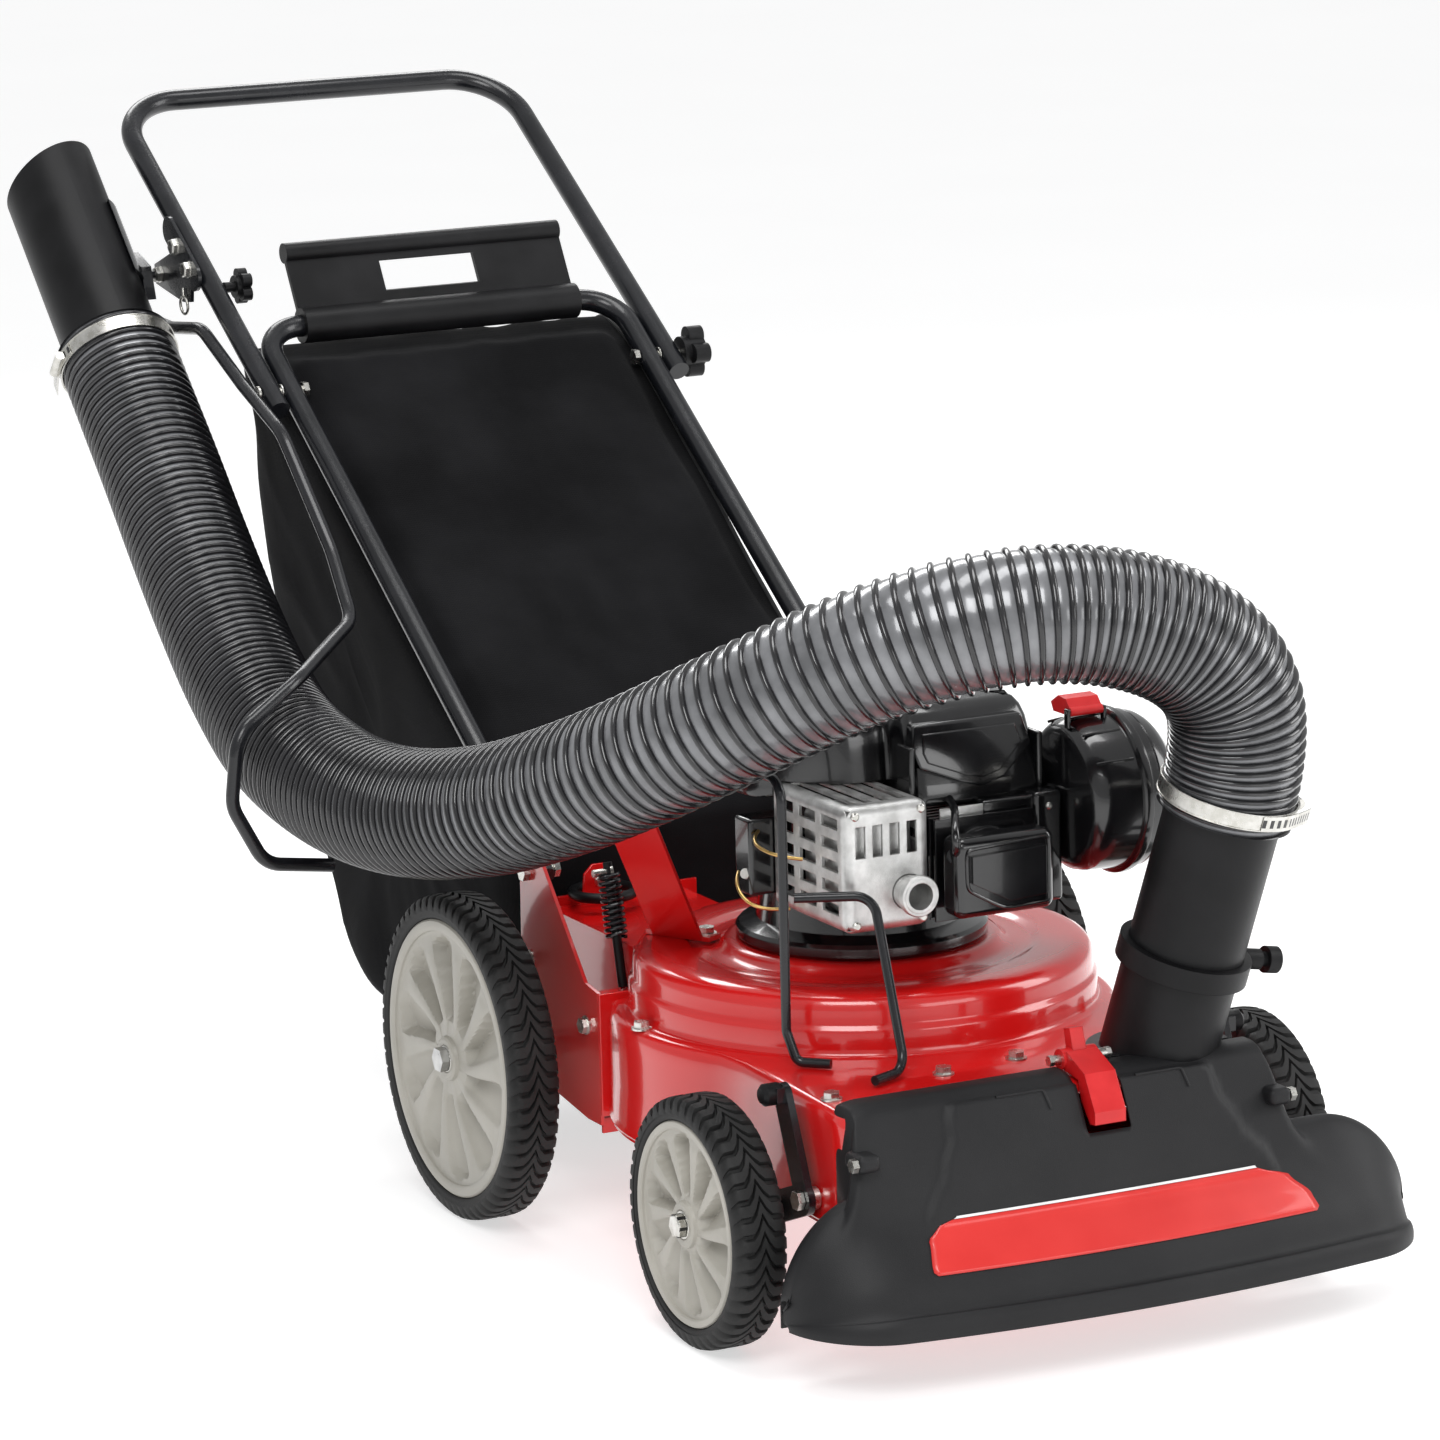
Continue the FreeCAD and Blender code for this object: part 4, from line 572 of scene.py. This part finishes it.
def nozzle_point(x, v):
    """The nozzle's skin at X and at a place along its section."""
    from_mid = abs(x - NOZZLE_MID)
    wing, neck = spline_value(WING, v), spline_value(NECK, v)
    width = mix(26.0, 13.0, smooth((v - 7.0) / 5.0))
    inside = smooth((between(NECK_HALF, v) - abs(x)) / width + 0.5)
    y, z = mix(wing[0], neck[0], inside), mix(wing[1], neck[1], inside)
    left, right = between(HUMP_LEFT, v), between(HUMP_RIGHT, v)
    hump = smooth((left - x) / 4.0) * smooth((x - right) / 4.0) * smooth((v - 7.6) / 0.5) * smooth((11.9 - v) / 0.5)
    y, z = y - 3.8 * hump, z + 1.8 * hump
    if from_mid > FALL_FROM:
        top = FALL_TOP + FALL_HEIGHT * math.sqrt(max(0.0, 1.0 - ((from_mid - FALL_FROM) / FALL_LENGTH) ** 2))
        if z > NOZZLE_FOOT:
            z = NOZZLE_FOOT + (z - NOZZLE_FOOT) * (top - NOZZLE_FOOT) / WING_HEIGHT
    front = NOZZLE_FRONT + BOW_R - math.sqrt(BOW_R ** 2 - (x - NOZZLE_MID) ** 2)
    if from_mid > CORNER_FROM:
        front += CORNER_R - math.sqrt(max(0.0, CORNER_R ** 2 - (from_mid - CORNER_FROM) ** 2))
    share = smooth((-128.0 - y) / 100.0)
    return Vector((x, y + (front - NOZZLE_FRONT) * share, z))


def nozzle_grid(xs, vs, lift):
    """Rows of points on the nozzle's skin, lifted off it. Each V has its own list of X."""
    rows = []
    for row_xs, v in zip(xs, vs):
        row = []
        for x in row_xs:
            point = nozzle_point(x, v)
            across = nozzle_point(x + 1.0, v) - nozzle_point(x - 1.0, v)
            down = nozzle_point(x, max(v - 0.05, 0.0)) - nozzle_point(x, min(v + 0.05, SECTION_END))
            row.append(point + down.cross(across).normalized() * lift)
        rows.append(row)
    return rows


def build_nozzle():
    """The nozzle's shell, with the diverter lever's slot cut in it."""
    # Columns every 4 mm, closer and closer towards the ends, and every millimetre beside the neck.
    ends = [NOZZLE_HALF * (1.0 - 0.025 * ((7 - k) / 7.0) ** 2) for k in range(7)]
    xs = [-x for x in reversed(ends)] + list(range(-272, 273, 4)) + ends
    limit = NOZZLE_HALF - 0.1
    xs = [NOZZLE_MID + min(max(x, -limit), limit) for x in xs]
    xs += [side * (176.0 + k) for side in (-1, 1) for k in range(31)]
    xs = sorted(set(round(x, 2) for x in xs))
    vs = [SECTION_END * k / 90.0 for k in range(91)]
    rows = [[nozzle_point(x, v) for v in vs] for x in xs]
    points, faces = skin(rows, loop=False)
    shell = piece("nozzle_shell", points, faces, NOZZLE_PLASTIC, nodes=["nozzle"], slot="black_plastic", sharp=60.0)
    thicken(shell, 1.8)
    slot = block("nozzle_slot", (10, -153, 170), (50, -80, 222), 2.0, NOZZLE_PLASTIC)
    notch = shell.modifiers.new("notch", "BOOLEAN")
    notch.operation, notch.solver, notch.object = "DIFFERENCE", "EXACT", slot
    apply_modifiers(shell)
    bpy.data.objects.remove(slot)


# Share of the badge's height, and X of its side there.
BADGE_RIGHT = [(0.0, -148.0), (0.06, -151.0), (0.62, -146.0), (0.85, -136.0), (1.0, -118.0)]
BADGE_LEFT = [(0.0, 194.0), (0.06, 197.0), (0.30, 195.0), (0.72, 182.0), (1.0, 152.0)]


def badge_part(name, low, high, material):
    """A strip of the coloured band on the nozzle's lower slope, from low to high as shares of its height."""
    steps, columns = 14, 60
    xs, vs = [], []
    for k in range(steps + 1):
        share = mix(low, high, k / steps)
        right, left = between(BADGE_RIGHT, share), between(BADGE_LEFT, share)
        vs.append(mix(6.12, 7.98, share))
        xs.append([mix(right, left, n / columns) for n in range(columns + 1)])
    points, faces = skin(nozzle_grid(xs, vs, 1.0), loop=False)
    band = piece(name, points, faces, material, nodes=["nozzle_badge"], slot="badge_red")
    thicken(band, 0.9)
    apply_modifiers(band)


build_nozzle()
badge_part("badge_band", 0.0, 0.955, BADGE_RED)
badge_part("badge_edge", 0.962, 1.0, BADGE_LINE)
# A ridge's corner along the section, and its points from there in X and along the section.
RIDGE_V = 11.5
RIDGE_STEPS = ((-28, 0.0), (2, 0.0), (13, 0.0), (14, -0.12), (15, -0.5), (17, -1.0))
for ridge, corner_x in enumerate((-34.0, 92.0)):
    mark = [nozzle_point(corner_x + dx, RIDGE_V + dv) for dx, dv in RIDGE_STEPS]
    tube("nozzle_ridge_%d" % ridge, mark, 1.4, NOZZLE_PLASTIC, around=8)
for lug_name, lug_side in SIDES:
    lug_x = sorted((lug_side * 176.0, lug_side * 195.6))
    block("nozzle_lug_" + lug_name, (lug_x[0], -158.4, 169.0), (lug_x[1], -130.0, 183.0), 5.0, NOZZLE_PLASTIC,
          slot="black_plastic")


# ---------------------------------------------------------------- impeller housing

# The drum's centre in plan. The engine's shroud is round it too.
DRUM = Vector((0.0, 200.0))
PAN_R, DUCT_X, WAIST_X, DUCT_FRONT = 212.0, 190.0, 182.0, -125.0


def pan_outline():
    """The pan in plan, going round from the duct's right front corner."""
    waist_y = DRUM.y - math.sqrt(PAN_R ** 2 - WAIST_X ** 2)
    corner = 7.0
    line = [Vector((mix(-DUCT_X + corner, DUCT_X - corner, k / 12.0), DUCT_FRONT)) for k in range(13)]
    side = [Vector((mix(DUCT_X, WAIST_X + 1.0, k / 10.0), mix(DUCT_FRONT + corner, waist_y - 26.0, k / 10.0)))
            for k in range(11)]
    line += side
    start = math.atan2(waist_y + 8.0 - DRUM.y, WAIST_X + 4.0)
    for k in range(81):
        angle = mix(start, math.pi - start, k / 80.0)
        line.append(DRUM + Vector((math.cos(angle), math.sin(angle))) * PAN_R)
    return line + [Vector((-p.x, p.y)) for p in reversed(side)]


def inset(line, distance):
    """The outline moved inwards."""
    moved = []
    for i, point in enumerate(line):
        along = (line[(i + 1) % len(line)] - line[i - 1]).normalized()
        moved.append(point + Vector((-along.y, along.x)) * distance)
    return moved


def drum_ring(outline, r, z):
    """The outline drawn onto a circle round the drum's centre."""
    row = []
    for p in outline:
        direction = (p - DRUM).normalized()
        row.append((DRUM.x + direction.x * r, DRUM.y + direction.y * r, z))
    return row


def build_deck():
    """The housing's red pressing: skirt, flange and stepped drum, open to the front where the duct is."""
    outline = pan_outline()
    # Inset and Z of the skirt, from its rolled lower edge to the flange.
    skirt = [(3.5, 113.5), (2.0, 112.0), (-1.2, 112.2), (-2.2, 114.0), (-1.2, 116.0), (0.0, 119.0), (0.0, 150.0),
             (0.0, 186.0), (0.3, 196.0), (1.6, 201.0), (4.2, 204.6), (8.0, 206.0)]
    rows = [[(p.x, p.y, z) for p in inset(outline, d)] for d, z in skirt]
    # Radius and Z of the drum, from its fillet on the flange up to the engine's seat.
    drum = [(200.5, 206.0), (197.4, 206.9), (195.8, 209.0), (195.3, 213.0), (195.3, 226.0), (194.6, 228.6),
            (192.6, 230.4), (191.8, 233.0), (191.8, 243.0), (190.6, 248.5), (187.4, 252.8), (182.0, 255.4),
            (174.0, 256.2), (150.0, 256.2), (146.0, 255.6), (142.0, 253.6), (138.0, 253.2), (124.0, 253.4),
            (119.0, 255.0), (115.6, 259.0), (113.0, 261.4), (109.0, 262.0), (60.0, 262.0)]
    rows += [drum_ring(outline, r, z) for r, z in drum]
    points, faces = skin(rows)
    open_faces = [f for f in faces
                  if not (max(points[n][1] for n in f) < DUCT_FRONT + 1.0 and max(points[n][2] for n in f) < 202.5)]
    deck = piece("deck_pressing", points, open_faces, RED_PAINT, nodes=["impeller_housing"], slot="red_paint",
                 sharp=55.0)
    thicken(deck, 2.5)
    apply_modifiers(deck)


build_deck()


# ---------------------------------------------------------------- bag

# Y and Z round the bag's side, from its mouth at the chute up under the handle and back along its belly.
BAG_SIDE = [(489, 240), (489, 292), (500, 318), (560, 358), (700, 453), (850, 556), (960, 631), (992, 652),
            (1040, 668), (1070, 652), (1064, 600), (1044, 510), (1014, 400), (976, 300), (940, 220), (884, 146),
            (820, 106), (760, 88), (690, 78), (620, 82), (550, 97), (505, 122), (490, 160)]
# Y and half the bag's width there.
BAG_HALF = [(480, 160), (560, 174), (700, 183), (850, 186), (1080, 186)]
BAG_MIDDLE = (780.0, 330.0)
# The direction that the bag's front faces, and how much it rises for each millimetre back.
FRONT_Z, FRONT_RISE = 0.827, 0.679
FRONT_WAY = Vector((0.0, -0.562, FRONT_Z))


def bag_half(y):
    """Half the bag's width at Y."""
    return between(BAG_HALF, min(max(y, 481.0), 1079.0))


def closed_spline(keys, steps):
    """Points round a closed list of keys, rounded between them."""
    line = []
    for i in range(len(keys)):
        window = [keys[(i + n - 1) % len(keys)] for n in range(4)]
        for k in range(steps):
            line.append(spline_value(window, 1.0 + k / steps))
    return line


def build_bag():
    """A lofted shell: two side panels drawn in round their edges, and a crowned band between them."""
    outline = closed_spline(BAG_SIDE, 8)
    rows = []
    shares = [0.06, 0.2, 0.36, 0.52, 0.68, 0.8, 0.9, 0.96, 0.99]
    band_steps = 40
    for side in (-1, 1):
        panel = []
        for share in shares:
            drawn_in = max(0.0, 4.0 - 40.0 * (1 - share))
            dip = min(0.0, 5.0 - 9.0 * (1.0 - share))
            row = []
            for y, z in outline:
                y, z = mix(BAG_MIDDLE[0], y, share), mix(BAG_MIDDLE[1], z, share)
                row.append((side * (bag_half(y) - drawn_in + dip), y, z))
            panel.append(row)
        if side < 0:
            rows += panel
            for k in range(band_steps + 1):
                across = mix(-1.0, 1.0, k / band_steps)
                reach = 1.0 + 0.006 * (1.0 - abs(across) ** 4)
                rows.append([(across * (bag_half(y) - 6.0), mix(BAG_MIDDLE[0], y, reach),
                              mix(BAG_MIDDLE[1], z, reach)) for y, z in outline])
        else:
            rows += list(reversed(panel))
    points, faces = skin(rows, caps=True)
    # The shell is creased and sagged inwards, and its front is puffed out between the handle's legs.
    soft = []
    for x, y, z in points:
        low = noise.noise(Vector((x * 0.006, y * 0.006, z * 0.006)))
        folds = noise.noise(Vector((x * 0.022 + 5.0, (y + z) * 0.006, (y - z) * 0.016)))
        drape = math.sin((z * 0.9 + y * 0.5) * 0.035 + 3.0 * low) * smooth((520.0 - z) / 300.0)
        sag = 3.2 * (1.0 + math.sin(0.026 * (z + 0.35 * y) + 2.4 * low)) * smooth((y - 560.0) / 160.0)
        inward = 4.5 * abs(low) + 5.0 * abs(folds) + 1.6 * (1.0 + drape) + 0.5 * sag
        to_middle = Vector((-x, BAG_MIDDLE[0] - y, BAG_MIDDLE[1] - z)).normalized()
        moved = Vector((x, y, z)) + to_middle * inward
        # Distance below the front's plane.
        below = FRONT_Z * (318.0 + (y - 500.0) * FRONT_RISE - z)
        if abs(x) > bag_half(y) - 12.0:
            moved.x = x - math.copysign(inward * (0.15 + 1.05 * smooth(below / 120.0)), x)
        puff = 13.0 * smooth((171.0 - abs(x)) / 16.0) * smooth((30.0 - below) / 14.0)
        puff *= smooth((y - 520.0) / 60.0) * smooth((1014.0 - y) / 30.0)
        moved += FRONT_WAY * puff
        soft.append(moved)
    count = len(outline)
    for side_name, row in (("right", len(shares)), ("left", len(shares) + band_steps)):
        seam = [Vector(p) for p in soft[row * count:(row + 1) * count:2]]
        tube("bag_seam_" + side_name, seam + seam[:2], 2.0, PIPING, around=8, steps=2, slot="bag_cloth")
    piece("bag_shell", soft, faces, CLOTH, nodes=["bag"], slot="bag_cloth", sharp=180.0)


build_bag()


# ---------------------------------------------------------------- small parts of the deck and wheels

for flange_name, flange_side in SIDES:
    flange_x = sorted((flange_side * 194.8, flange_side * 160.0))
    block("bracket_flange_" + flange_name, (flange_x[0], 302.5, 106.0), (flange_x[1], 305.5, 211.5), 1.0, RED_PAINT,
          slot="red_paint")
for lever_name, lever_side in SIDES:
    turned("front_hub_nut_" + lever_name, [(0.0, 0.0), (0.0, 10.2), (5.4, 10.2), (6.6, 9.2), (6.9, 0.0)],
           (lever_side * 272.5, 0.0, 101.6), (lever_side, 0, 0), ZINC, around=6, body="height_lever_" + lever_name,
           slot="zinc", sharp=20.0)
    turned("lever_grip_" + lever_name, [(0.0, 0.0), (0.0, 7.5), (2.0, 9.0), (14.0, 9.0), (17.0, 6.0), (17.5, 0.0)],
           (lever_side * 203.2, -40.0, 209.0), (lever_side, 0, 0), BLACK_PLASTIC, body="height_lever_" + lever_name,
           slot="black_plastic")


# ---------------------------------------------------------------- hose clamps

def clamp_tail(name, start, towards, front, side, leave):
    """The free end of a worm-drive band: it leaves the band at an angle and springs away. Its slots are not cut: they
    are dark faces, painted shade where the openings would be.
    """
    band_r, tail_r, band_middle = 57.2, 58.6, 14.5
    forward = (Vector(towards) - Vector(start)).normalized()
    centre = Vector(start) + forward * band_middle
    front = Vector(front)
    front = (front - forward * front.dot(forward)).normalized()
    side_way = Vector(side)
    side_way = (side_way - forward * side_way.dot(forward) - front * side_way.dot(front)).normalized()
    # Points of the tail's middle line, with its heading there.
    line = []
    for k in range(9):
        angle = mix(leave - 0.5, leave, k / 8.0)
        outwards = front * math.cos(angle) + side_way * math.sin(angle)
        line.append((centre + outwards * mix(band_r, tail_r, k / 8.0),
                     -front * math.sin(angle) + side_way * math.cos(angle)))
    out, heading = line[-1]
    for k in range(1, 17):
        heading = (heading - (front * math.cos(leave) + side_way * math.sin(leave)) * 0.008).normalized()
        out = out + heading * 2.1
        line.append((out, heading))
    rows, kinds = [], []
    for point, heading in line:
        outward = heading.cross(forward).normalized() * 0.35
        across = [-6.3, -3.4, 3.4, 6.3]
        rows.append([point + forward * a + outward for a in across]
                    + [point + forward * a - outward for a in reversed(across)])
    points, faces = skin(rows, caps=True)
    # Every other step is a slot on both of the tail's wide faces. The slot is not cut through; its faces take the
    # dark finish as painted shade where the opening would be. The last two faces are its ends.
    for n in range(len(faces)):
        strip, place = n // 8, n % 8
        kinds.append(1 if place in (1, 5) and strip % 2 == 0 and n < len(faces) - 2 else 0)
    # The second finish is only the slots' painted shade.
    piece(name, points, faces, [ZINC, ENGINE_BLACK], slot="zinc", kinds=kinds)


# The directions towards the photograph's camera and to its right. The tails leave their bands as they do there.
CAMERA_WAY, CAMERA_RIGHT = (-0.4385, -0.8745, 0.2071), (0.8914, -0.4526, -0.0239)
clamp_tail("clamp_tail_lower", HOSE_ROUTE[0], HOSE_ROUTE[1], CAMERA_WAY, CAMERA_RIGHT, 1.0)
clamp_tail("clamp_tail_upper", HOSE_ROUTE[-1], HOSE_ROUTE[-2], CAMERA_WAY, [-c for c in CAMERA_RIGHT], 1.15)
for clamp_name, clamp_at, clamp_to in (("lower", HOSE_ROUTE[0], HOSE_ROUTE[1]),
                                       ("upper", HOSE_ROUTE[-1], HOSE_ROUTE[-2])):
    band_way = (Vector(clamp_to) - Vector(clamp_at)).normalized()
    for edge_name, offset in (("near", 8.2), ("far", 20.8)):
        turned("clamp_bead_%s_%s" % (clamp_name, edge_name),
               [(-0.7, 56.0), (-0.5, 57.0), (0.5, 57.0), (0.7, 56.0)],
               Vector(clamp_at) + band_way * offset, band_way, ZINC, around=72, slot="zinc")


# ---------------------------------------------------------------- engine

# Z where the shroud's low part ends, and where its nose starts to lean back and how much.
SHROUD_SPLIT, LEAN_FROM, LEAN = 413.0, 408.0, 0.30


def blower_shape(low_part):
    """Plan of the fan shroud: round behind, square over the cylinder. Its low part is notched round the muffler."""
    keys = [(-25, 96), (-21, 66), (-4, 58), (36, 56), (76, 58), (93, 66), (98, 96), (106, 142), (117, 190),
            (112, 238), (90, 277), (52, 306), (0, 318), (-52, 306), (-90, 277), (-112, 238), (-117, 196)]
    if low_part:
        keys += [(-110, 166), (-84, 154), (-42, 151), (-27, 142)]
    else:
        keys += [(-113, 166), (-97, 134), (-64, 103), (-34, 100)]
    return [Vector(p) for p in closed_spline(keys, 7)]


def blower_lean(y, z):
    """How far the shroud's nose leans back at a height."""
    return smooth((120.0 - y) / 60.0) * max(0.0, z - LEAN_FROM) * LEAN


def build_blower():
    """The fan shroud, from its lower edge up to the ring round the air inlet."""
    low, full = blower_shape(True), blower_shape(False)
    rows = []
    for drawn_in, z in [(3.0, 397.0), (0.5, 396.2), (-0.5, 399.0), (0.0, 404.0), (0.0, 412.9), (0.0, 413.2),
                        (0.4, 425.0), (1.2, 447.0), (2.4, 457.0), (5.5, 465.5), (10.5, 471.5), (17.0, 473.8)]:
        outline = low if z < SHROUD_SPLIT else full
        rows.append([(p.x, p.y + blower_lean(q.y, z), z) for p, q in zip(inset(outline, drawn_in), outline)])
    rows += [drum_ring(full, r, z) for r, z in [(92.0, 474.2), (89.0, 475.0), (87.0, 477.5), (84.0, 478.0)]]
    points, faces = skin(rows)
    shroud = piece("blower_cover", points, faces, ENGINE_BLACK, nodes=["blower_housing"], slot="engine_black")
    thicken(shroud, 2.5)
    apply_modifiers(shroud)


def plate(name, outline, front, thick, radius, materials, lean=0.0, **options):
    """A plate with an outline of (X, Z) points that faces forward at Y front, with rounded edges."""
    points = [(x, front + lean * max(0.0, z - LEAN_FROM) + step, z) for step in (0.0, thick) for x, z in outline]
    count = len(outline)
    faces = [tuple(range(count)), tuple(range(count, 2 * count))]
    faces += [(k, (k + 1) % count, count + (k + 1) % count, count + k) for k in range(count)]
    obj = piece(name, points, faces, materials, sharp=180.0, **options)
    round_edges(obj, radius)
    obj.data.set_sharp_from_angle(angle=math.radians(35.0))


build_blower()
plate("blower_nose", [(-23, 441), (-19, 428), (16, 414), (36, 409), (56, 414), (86, 438), (80, 462), (-19, 462)],
      52.0, 14.0, 2.2, ENGINE_BLACK, lean=LEAN, slot="engine_black")
plate("blower_nose_panel",
      [(-15, 440), (-12, 432), (19, 420), (36, 416), (52, 420), (76, 440), (72, 455), (-13, 455)],
      50.2, 6.0, 1.2, ENGINE_BLACK, lean=LEAN, slot="engine_black")
for rib_number, rib_x in enumerate((-25.0, 93.0)):
    block("blower_rib_%d" % rib_number, (rib_x - 2.6, 60.0, 397.0), (rib_x + 2.6, 84.0, 446.0), 2.0, ENGINE_BLACK,
          slot="engine_black")
plate("cylinder_shield", [(31, 398), (31, 381), (100, 381), (104, 398)], 46.0, 18.0, 3.0, ENGINE_BLACK,
      slot="engine_black")
plate("carburettor_cover", [(77, 400), (77, 318), (84, 308), (103, 308), (103, 400)], 42.0, 22.0, 4.0, ENGINE_BLACK,
      slot="engine_black")
plate("heat_shield", [(-8, 396), (-8, 381), (32, 381), (32, 396)], 47.0, 2.0, 0.6, CAST_SILVER, slot="cast_silver")
tube("valve_frame", [(-8, 3.2, 362), (-8, 3.2, 370), (0, 3.2, 371), (30, 3.2, 372), (60, 3.2, 373), (67, 3.2, 373),
                     (67, 3.2, 366), (67, 3.2, 345), (67, 3.2, 326), (67, 3.2, 320), (60, 3.2, 320), (40, 3.2, 319),
                     (28, 3.2, 319), (20, 3.2, 322), (2, 3.2, 332), (-6, 3.2, 337), (-8, 3.2, 343), (-8, 3.2, 364)],
     1.5, ENGINE_BLACK, around=8, steps=8, slot="engine_cast")
turned("shroud_screw", [(0, 0), (0, 3.0), (1.2, 3.0), (2.2, 1.8), (2.2, 0)], (90.0, 42.2, 388.0), (0, -1, 0), ZINC,
       around=20, slot="zinc")

FILTER_Y, FILTER_Z, FILTER_AXIS = 50.0, 393.0, (1, 0, 0)
turned("filter_drum", [(0, 0), (0, 50), (1.0, 54), (4.0, 58), (9, 61.5), (16, 63), (34, 64), (41, 64.5),
                       (41.6, 67), (43, 68.6), (46, 69.0), (49, 68.6), (50.4, 67), (51, 65.8), (58, 65.4),
                       (59, 64.2), (60, 65.0), (67, 63.4), (73, 60), (79, 54), (83, 45), (85, 34), (86, 20),
                       (86.2, 0)],
       (104.6, FILTER_Y, FILTER_Z), FILTER_AXIS, ENGINE_BLACK, around=96, nodes=["air_filter_housing"],
       slot="black_plastic", sharp=35.0)
for ear_number, ear_x in enumerate((105.6, 139.4)):
    block("filter_ear_%d" % ear_number, (ear_x, 36.4, 450.0), (ear_x + 3.0, 43.6, 466.5), 1.4, ENGINE_BLACK,
          slot="black_plastic")
turned("filter_pin", [(0, 0), (0, 1.6), (37.2, 1.6), (37.2, 0)], (105.4, 40.0, 463.5), FILTER_AXIS, STEEL,
       around=20, slot="steel")
RIB_COUNT, RIB_START, RIB_STEP = 9, -70.0, 27.0
for rib_number in range(RIB_COUNT):
    angle = math.radians(RIB_START + RIB_STEP * rib_number)
    rib_line = [(x, FILTER_Y + r * math.cos(angle), FILTER_Z + r * math.sin(angle))
                for x, r in ((110.0, 62.0), (120.0, 63.2), (130.0, 63.2), (143.0, 64.0))]
    tube("filter_rib_%d" % rib_number, rib_line, 1.3, ENGINE_BLACK, around=8, slot="black_plastic")
tube("intake_snorkel", [(100, 120, 410), (112, 96, 402), (118, 84, 398), (124, 78, 396)], 19.0, ENGINE_BLACK,
     around=28, slot="engine_black")

# Fittings beside the right rear bracket: a spring on a rod, a ring and a lug. Eight steps make one turn of the
# spring's wire.
SPRING_TOP, SPRING_FOOT = Vector((-171.0, 352.0, 300.0)), Vector((-171.0, 340.0, 248.0))
SPRING_R, SPRING_STEPS = 9.0, 88
spring_way = SPRING_FOOT - SPRING_TOP
spring_side = Vector((1.0, 0.0, 0.0))
spring_up = spring_way.normalized().cross(spring_side)
spring_out = spring_side * 12.0
spring_line = []
for k in range(SPRING_STEPS + 1):
    turn = k * math.pi / 4.0
    spring_line.append(SPRING_TOP + spring_way * (k / SPRING_STEPS)
                       + (spring_side * math.cos(turn) + spring_up * math.sin(turn)) * SPRING_R + spring_out)
tube("door_spring", spring_line, 1.7, BLACK_PAINT, around=8, steps=3, slot="black_paint")
tube("door_spring_rod", [SPRING_TOP + spring_out - spring_way * 0.2, SPRING_TOP + spring_out + spring_way * 0.5,
                         SPRING_FOOT + spring_out + spring_way * 0.78], 4.0, BLACK_PLASTIC, around=14,
     slot="black_plastic")
turned("door_spring_pin", [(-0.5, 0.0), (-0.5, 3.2), (14.0, 3.2), (14.0, 5.6), (16.5, 5.6), (17.0, 0.0)],
       (-173.0, 352.6, 302.5), (1, 0, 0), ZINC, around=24, slot="zinc")
PULL_X, PULL_Y, PULL_Z, PULL_R = -112.0, 462.0, 257.0, 27.0
ring_line = [(PULL_X + PULL_R * math.cos(a), PULL_Y + PULL_R * math.sin(a), PULL_Z)
             for a in (2.0 * math.pi * k / 16.0 for k in range(18))]
tube("door_pull", ring_line, 4.6, BLACK_PLASTIC, around=12, steps=4, slot="black_plastic")
plate("door_lug", [(-128, 252), (-96, 252), (-98, 272), (-106, 280), (-118, 280), (-126, 272)], 470.0, 3.0, 0.8,
      RED_PAINT, slot="red_paint")
turned("door_lug_bolt", [(0, 0), (0, 5.5), (3.5, 5.5), (4.5, 4.6), (4.6, 0)], (-112.0, 469.8, 266.0), (0, -1, 0),
       ZINC, around=6, slot="zinc", sharp=20.0)
# Bolt heads on the handle bracket.
for bolt_number, (bolt_y, bolt_z) in enumerate(((1099.3, 734.5), (1127.9, 752.9), (1171.0, 722.0))):
    turned("bracket_bolt_%d" % bolt_number,
           [(0, 0), (0, 8.6), (1.2, 8.6), (1.3, 7.7), (5.6, 7.7), (6.8, 6.2), (6.9, 0)],
           (-216.4, bolt_y, bolt_z), (-1, 0, 0), ZINC, around=6, body="handle_top", slot="zinc", sharp=20.0)

# Small parts round the cylinder, the governor and the muffler.
tube("plug_lead", [(-8, 22, 362), (-20, -2, 372), (-16, 8, 392), (2, 40, 400), (10, 70, 402)], 3.4, ENGINE_BLACK,
     around=12, slot="engine_black")
tube("plug_boot", [(6, 34, 356), (0, 26, 359), (-8, 21, 362), (-13, 14, 365)], 6.6, BLACK_PLASTIC, around=18,
     slot="black_plastic")
for rod_number, rod_line in enumerate((
        [(-120, 150, 372), (-130, 140, 370), (-136, 120, 366), (-128, 96, 362), (-112, 88, 360)],
        [(-124, 176, 336), (-138, 160, 332), (-140, 138, 318), (-126, 124, 312), (-108, 120, 312)])):
    tube("governor_link_%d" % rod_number, rod_line, 1.5, BRASS, around=10, slot="steel")
turned("primer_insulator", [(0, 0), (0, 5.2), (3, 6.0), (14, 6.0), (17, 4.6), (22, 4.2), (22, 0)],
       (-112.0, 168.0, 330.0), (-0.8, -0.5, 0.3), CERAMIC, around=32, slot="cast_silver")
block("control_plate", (-128.0, 150.0, 318.0), (-88.0, 178.0, 382.0), 3.0, ENGINE_BLACK, slot="engine_black")
for screw_number, (screw_x, screw_z) in enumerate(((-97.5, 405.0), (-37.5, 405.0), (-97.5, 315.5), (-37.5, 315.5))):
    turned("guard_screw_%d" % screw_number, [(0, 0), (0, 3.6), (1.6, 3.6), (2.6, 2.4), (2.6, 0)],
           (screw_x, 25.2, screw_z), (0, -1, 0), ZINC, around=24, slot="zinc")
turned("outlet_ring", [(0, 11.2), (0, 16.2), (1.2, 17.0), (5.0, 17.0), (6.5, 14.6), (6.5, 11.2)], (-50.0, 4.4, 338.0),
       (0, 1, 0), CAST_SILVER, around=48, slot="cast_silver")
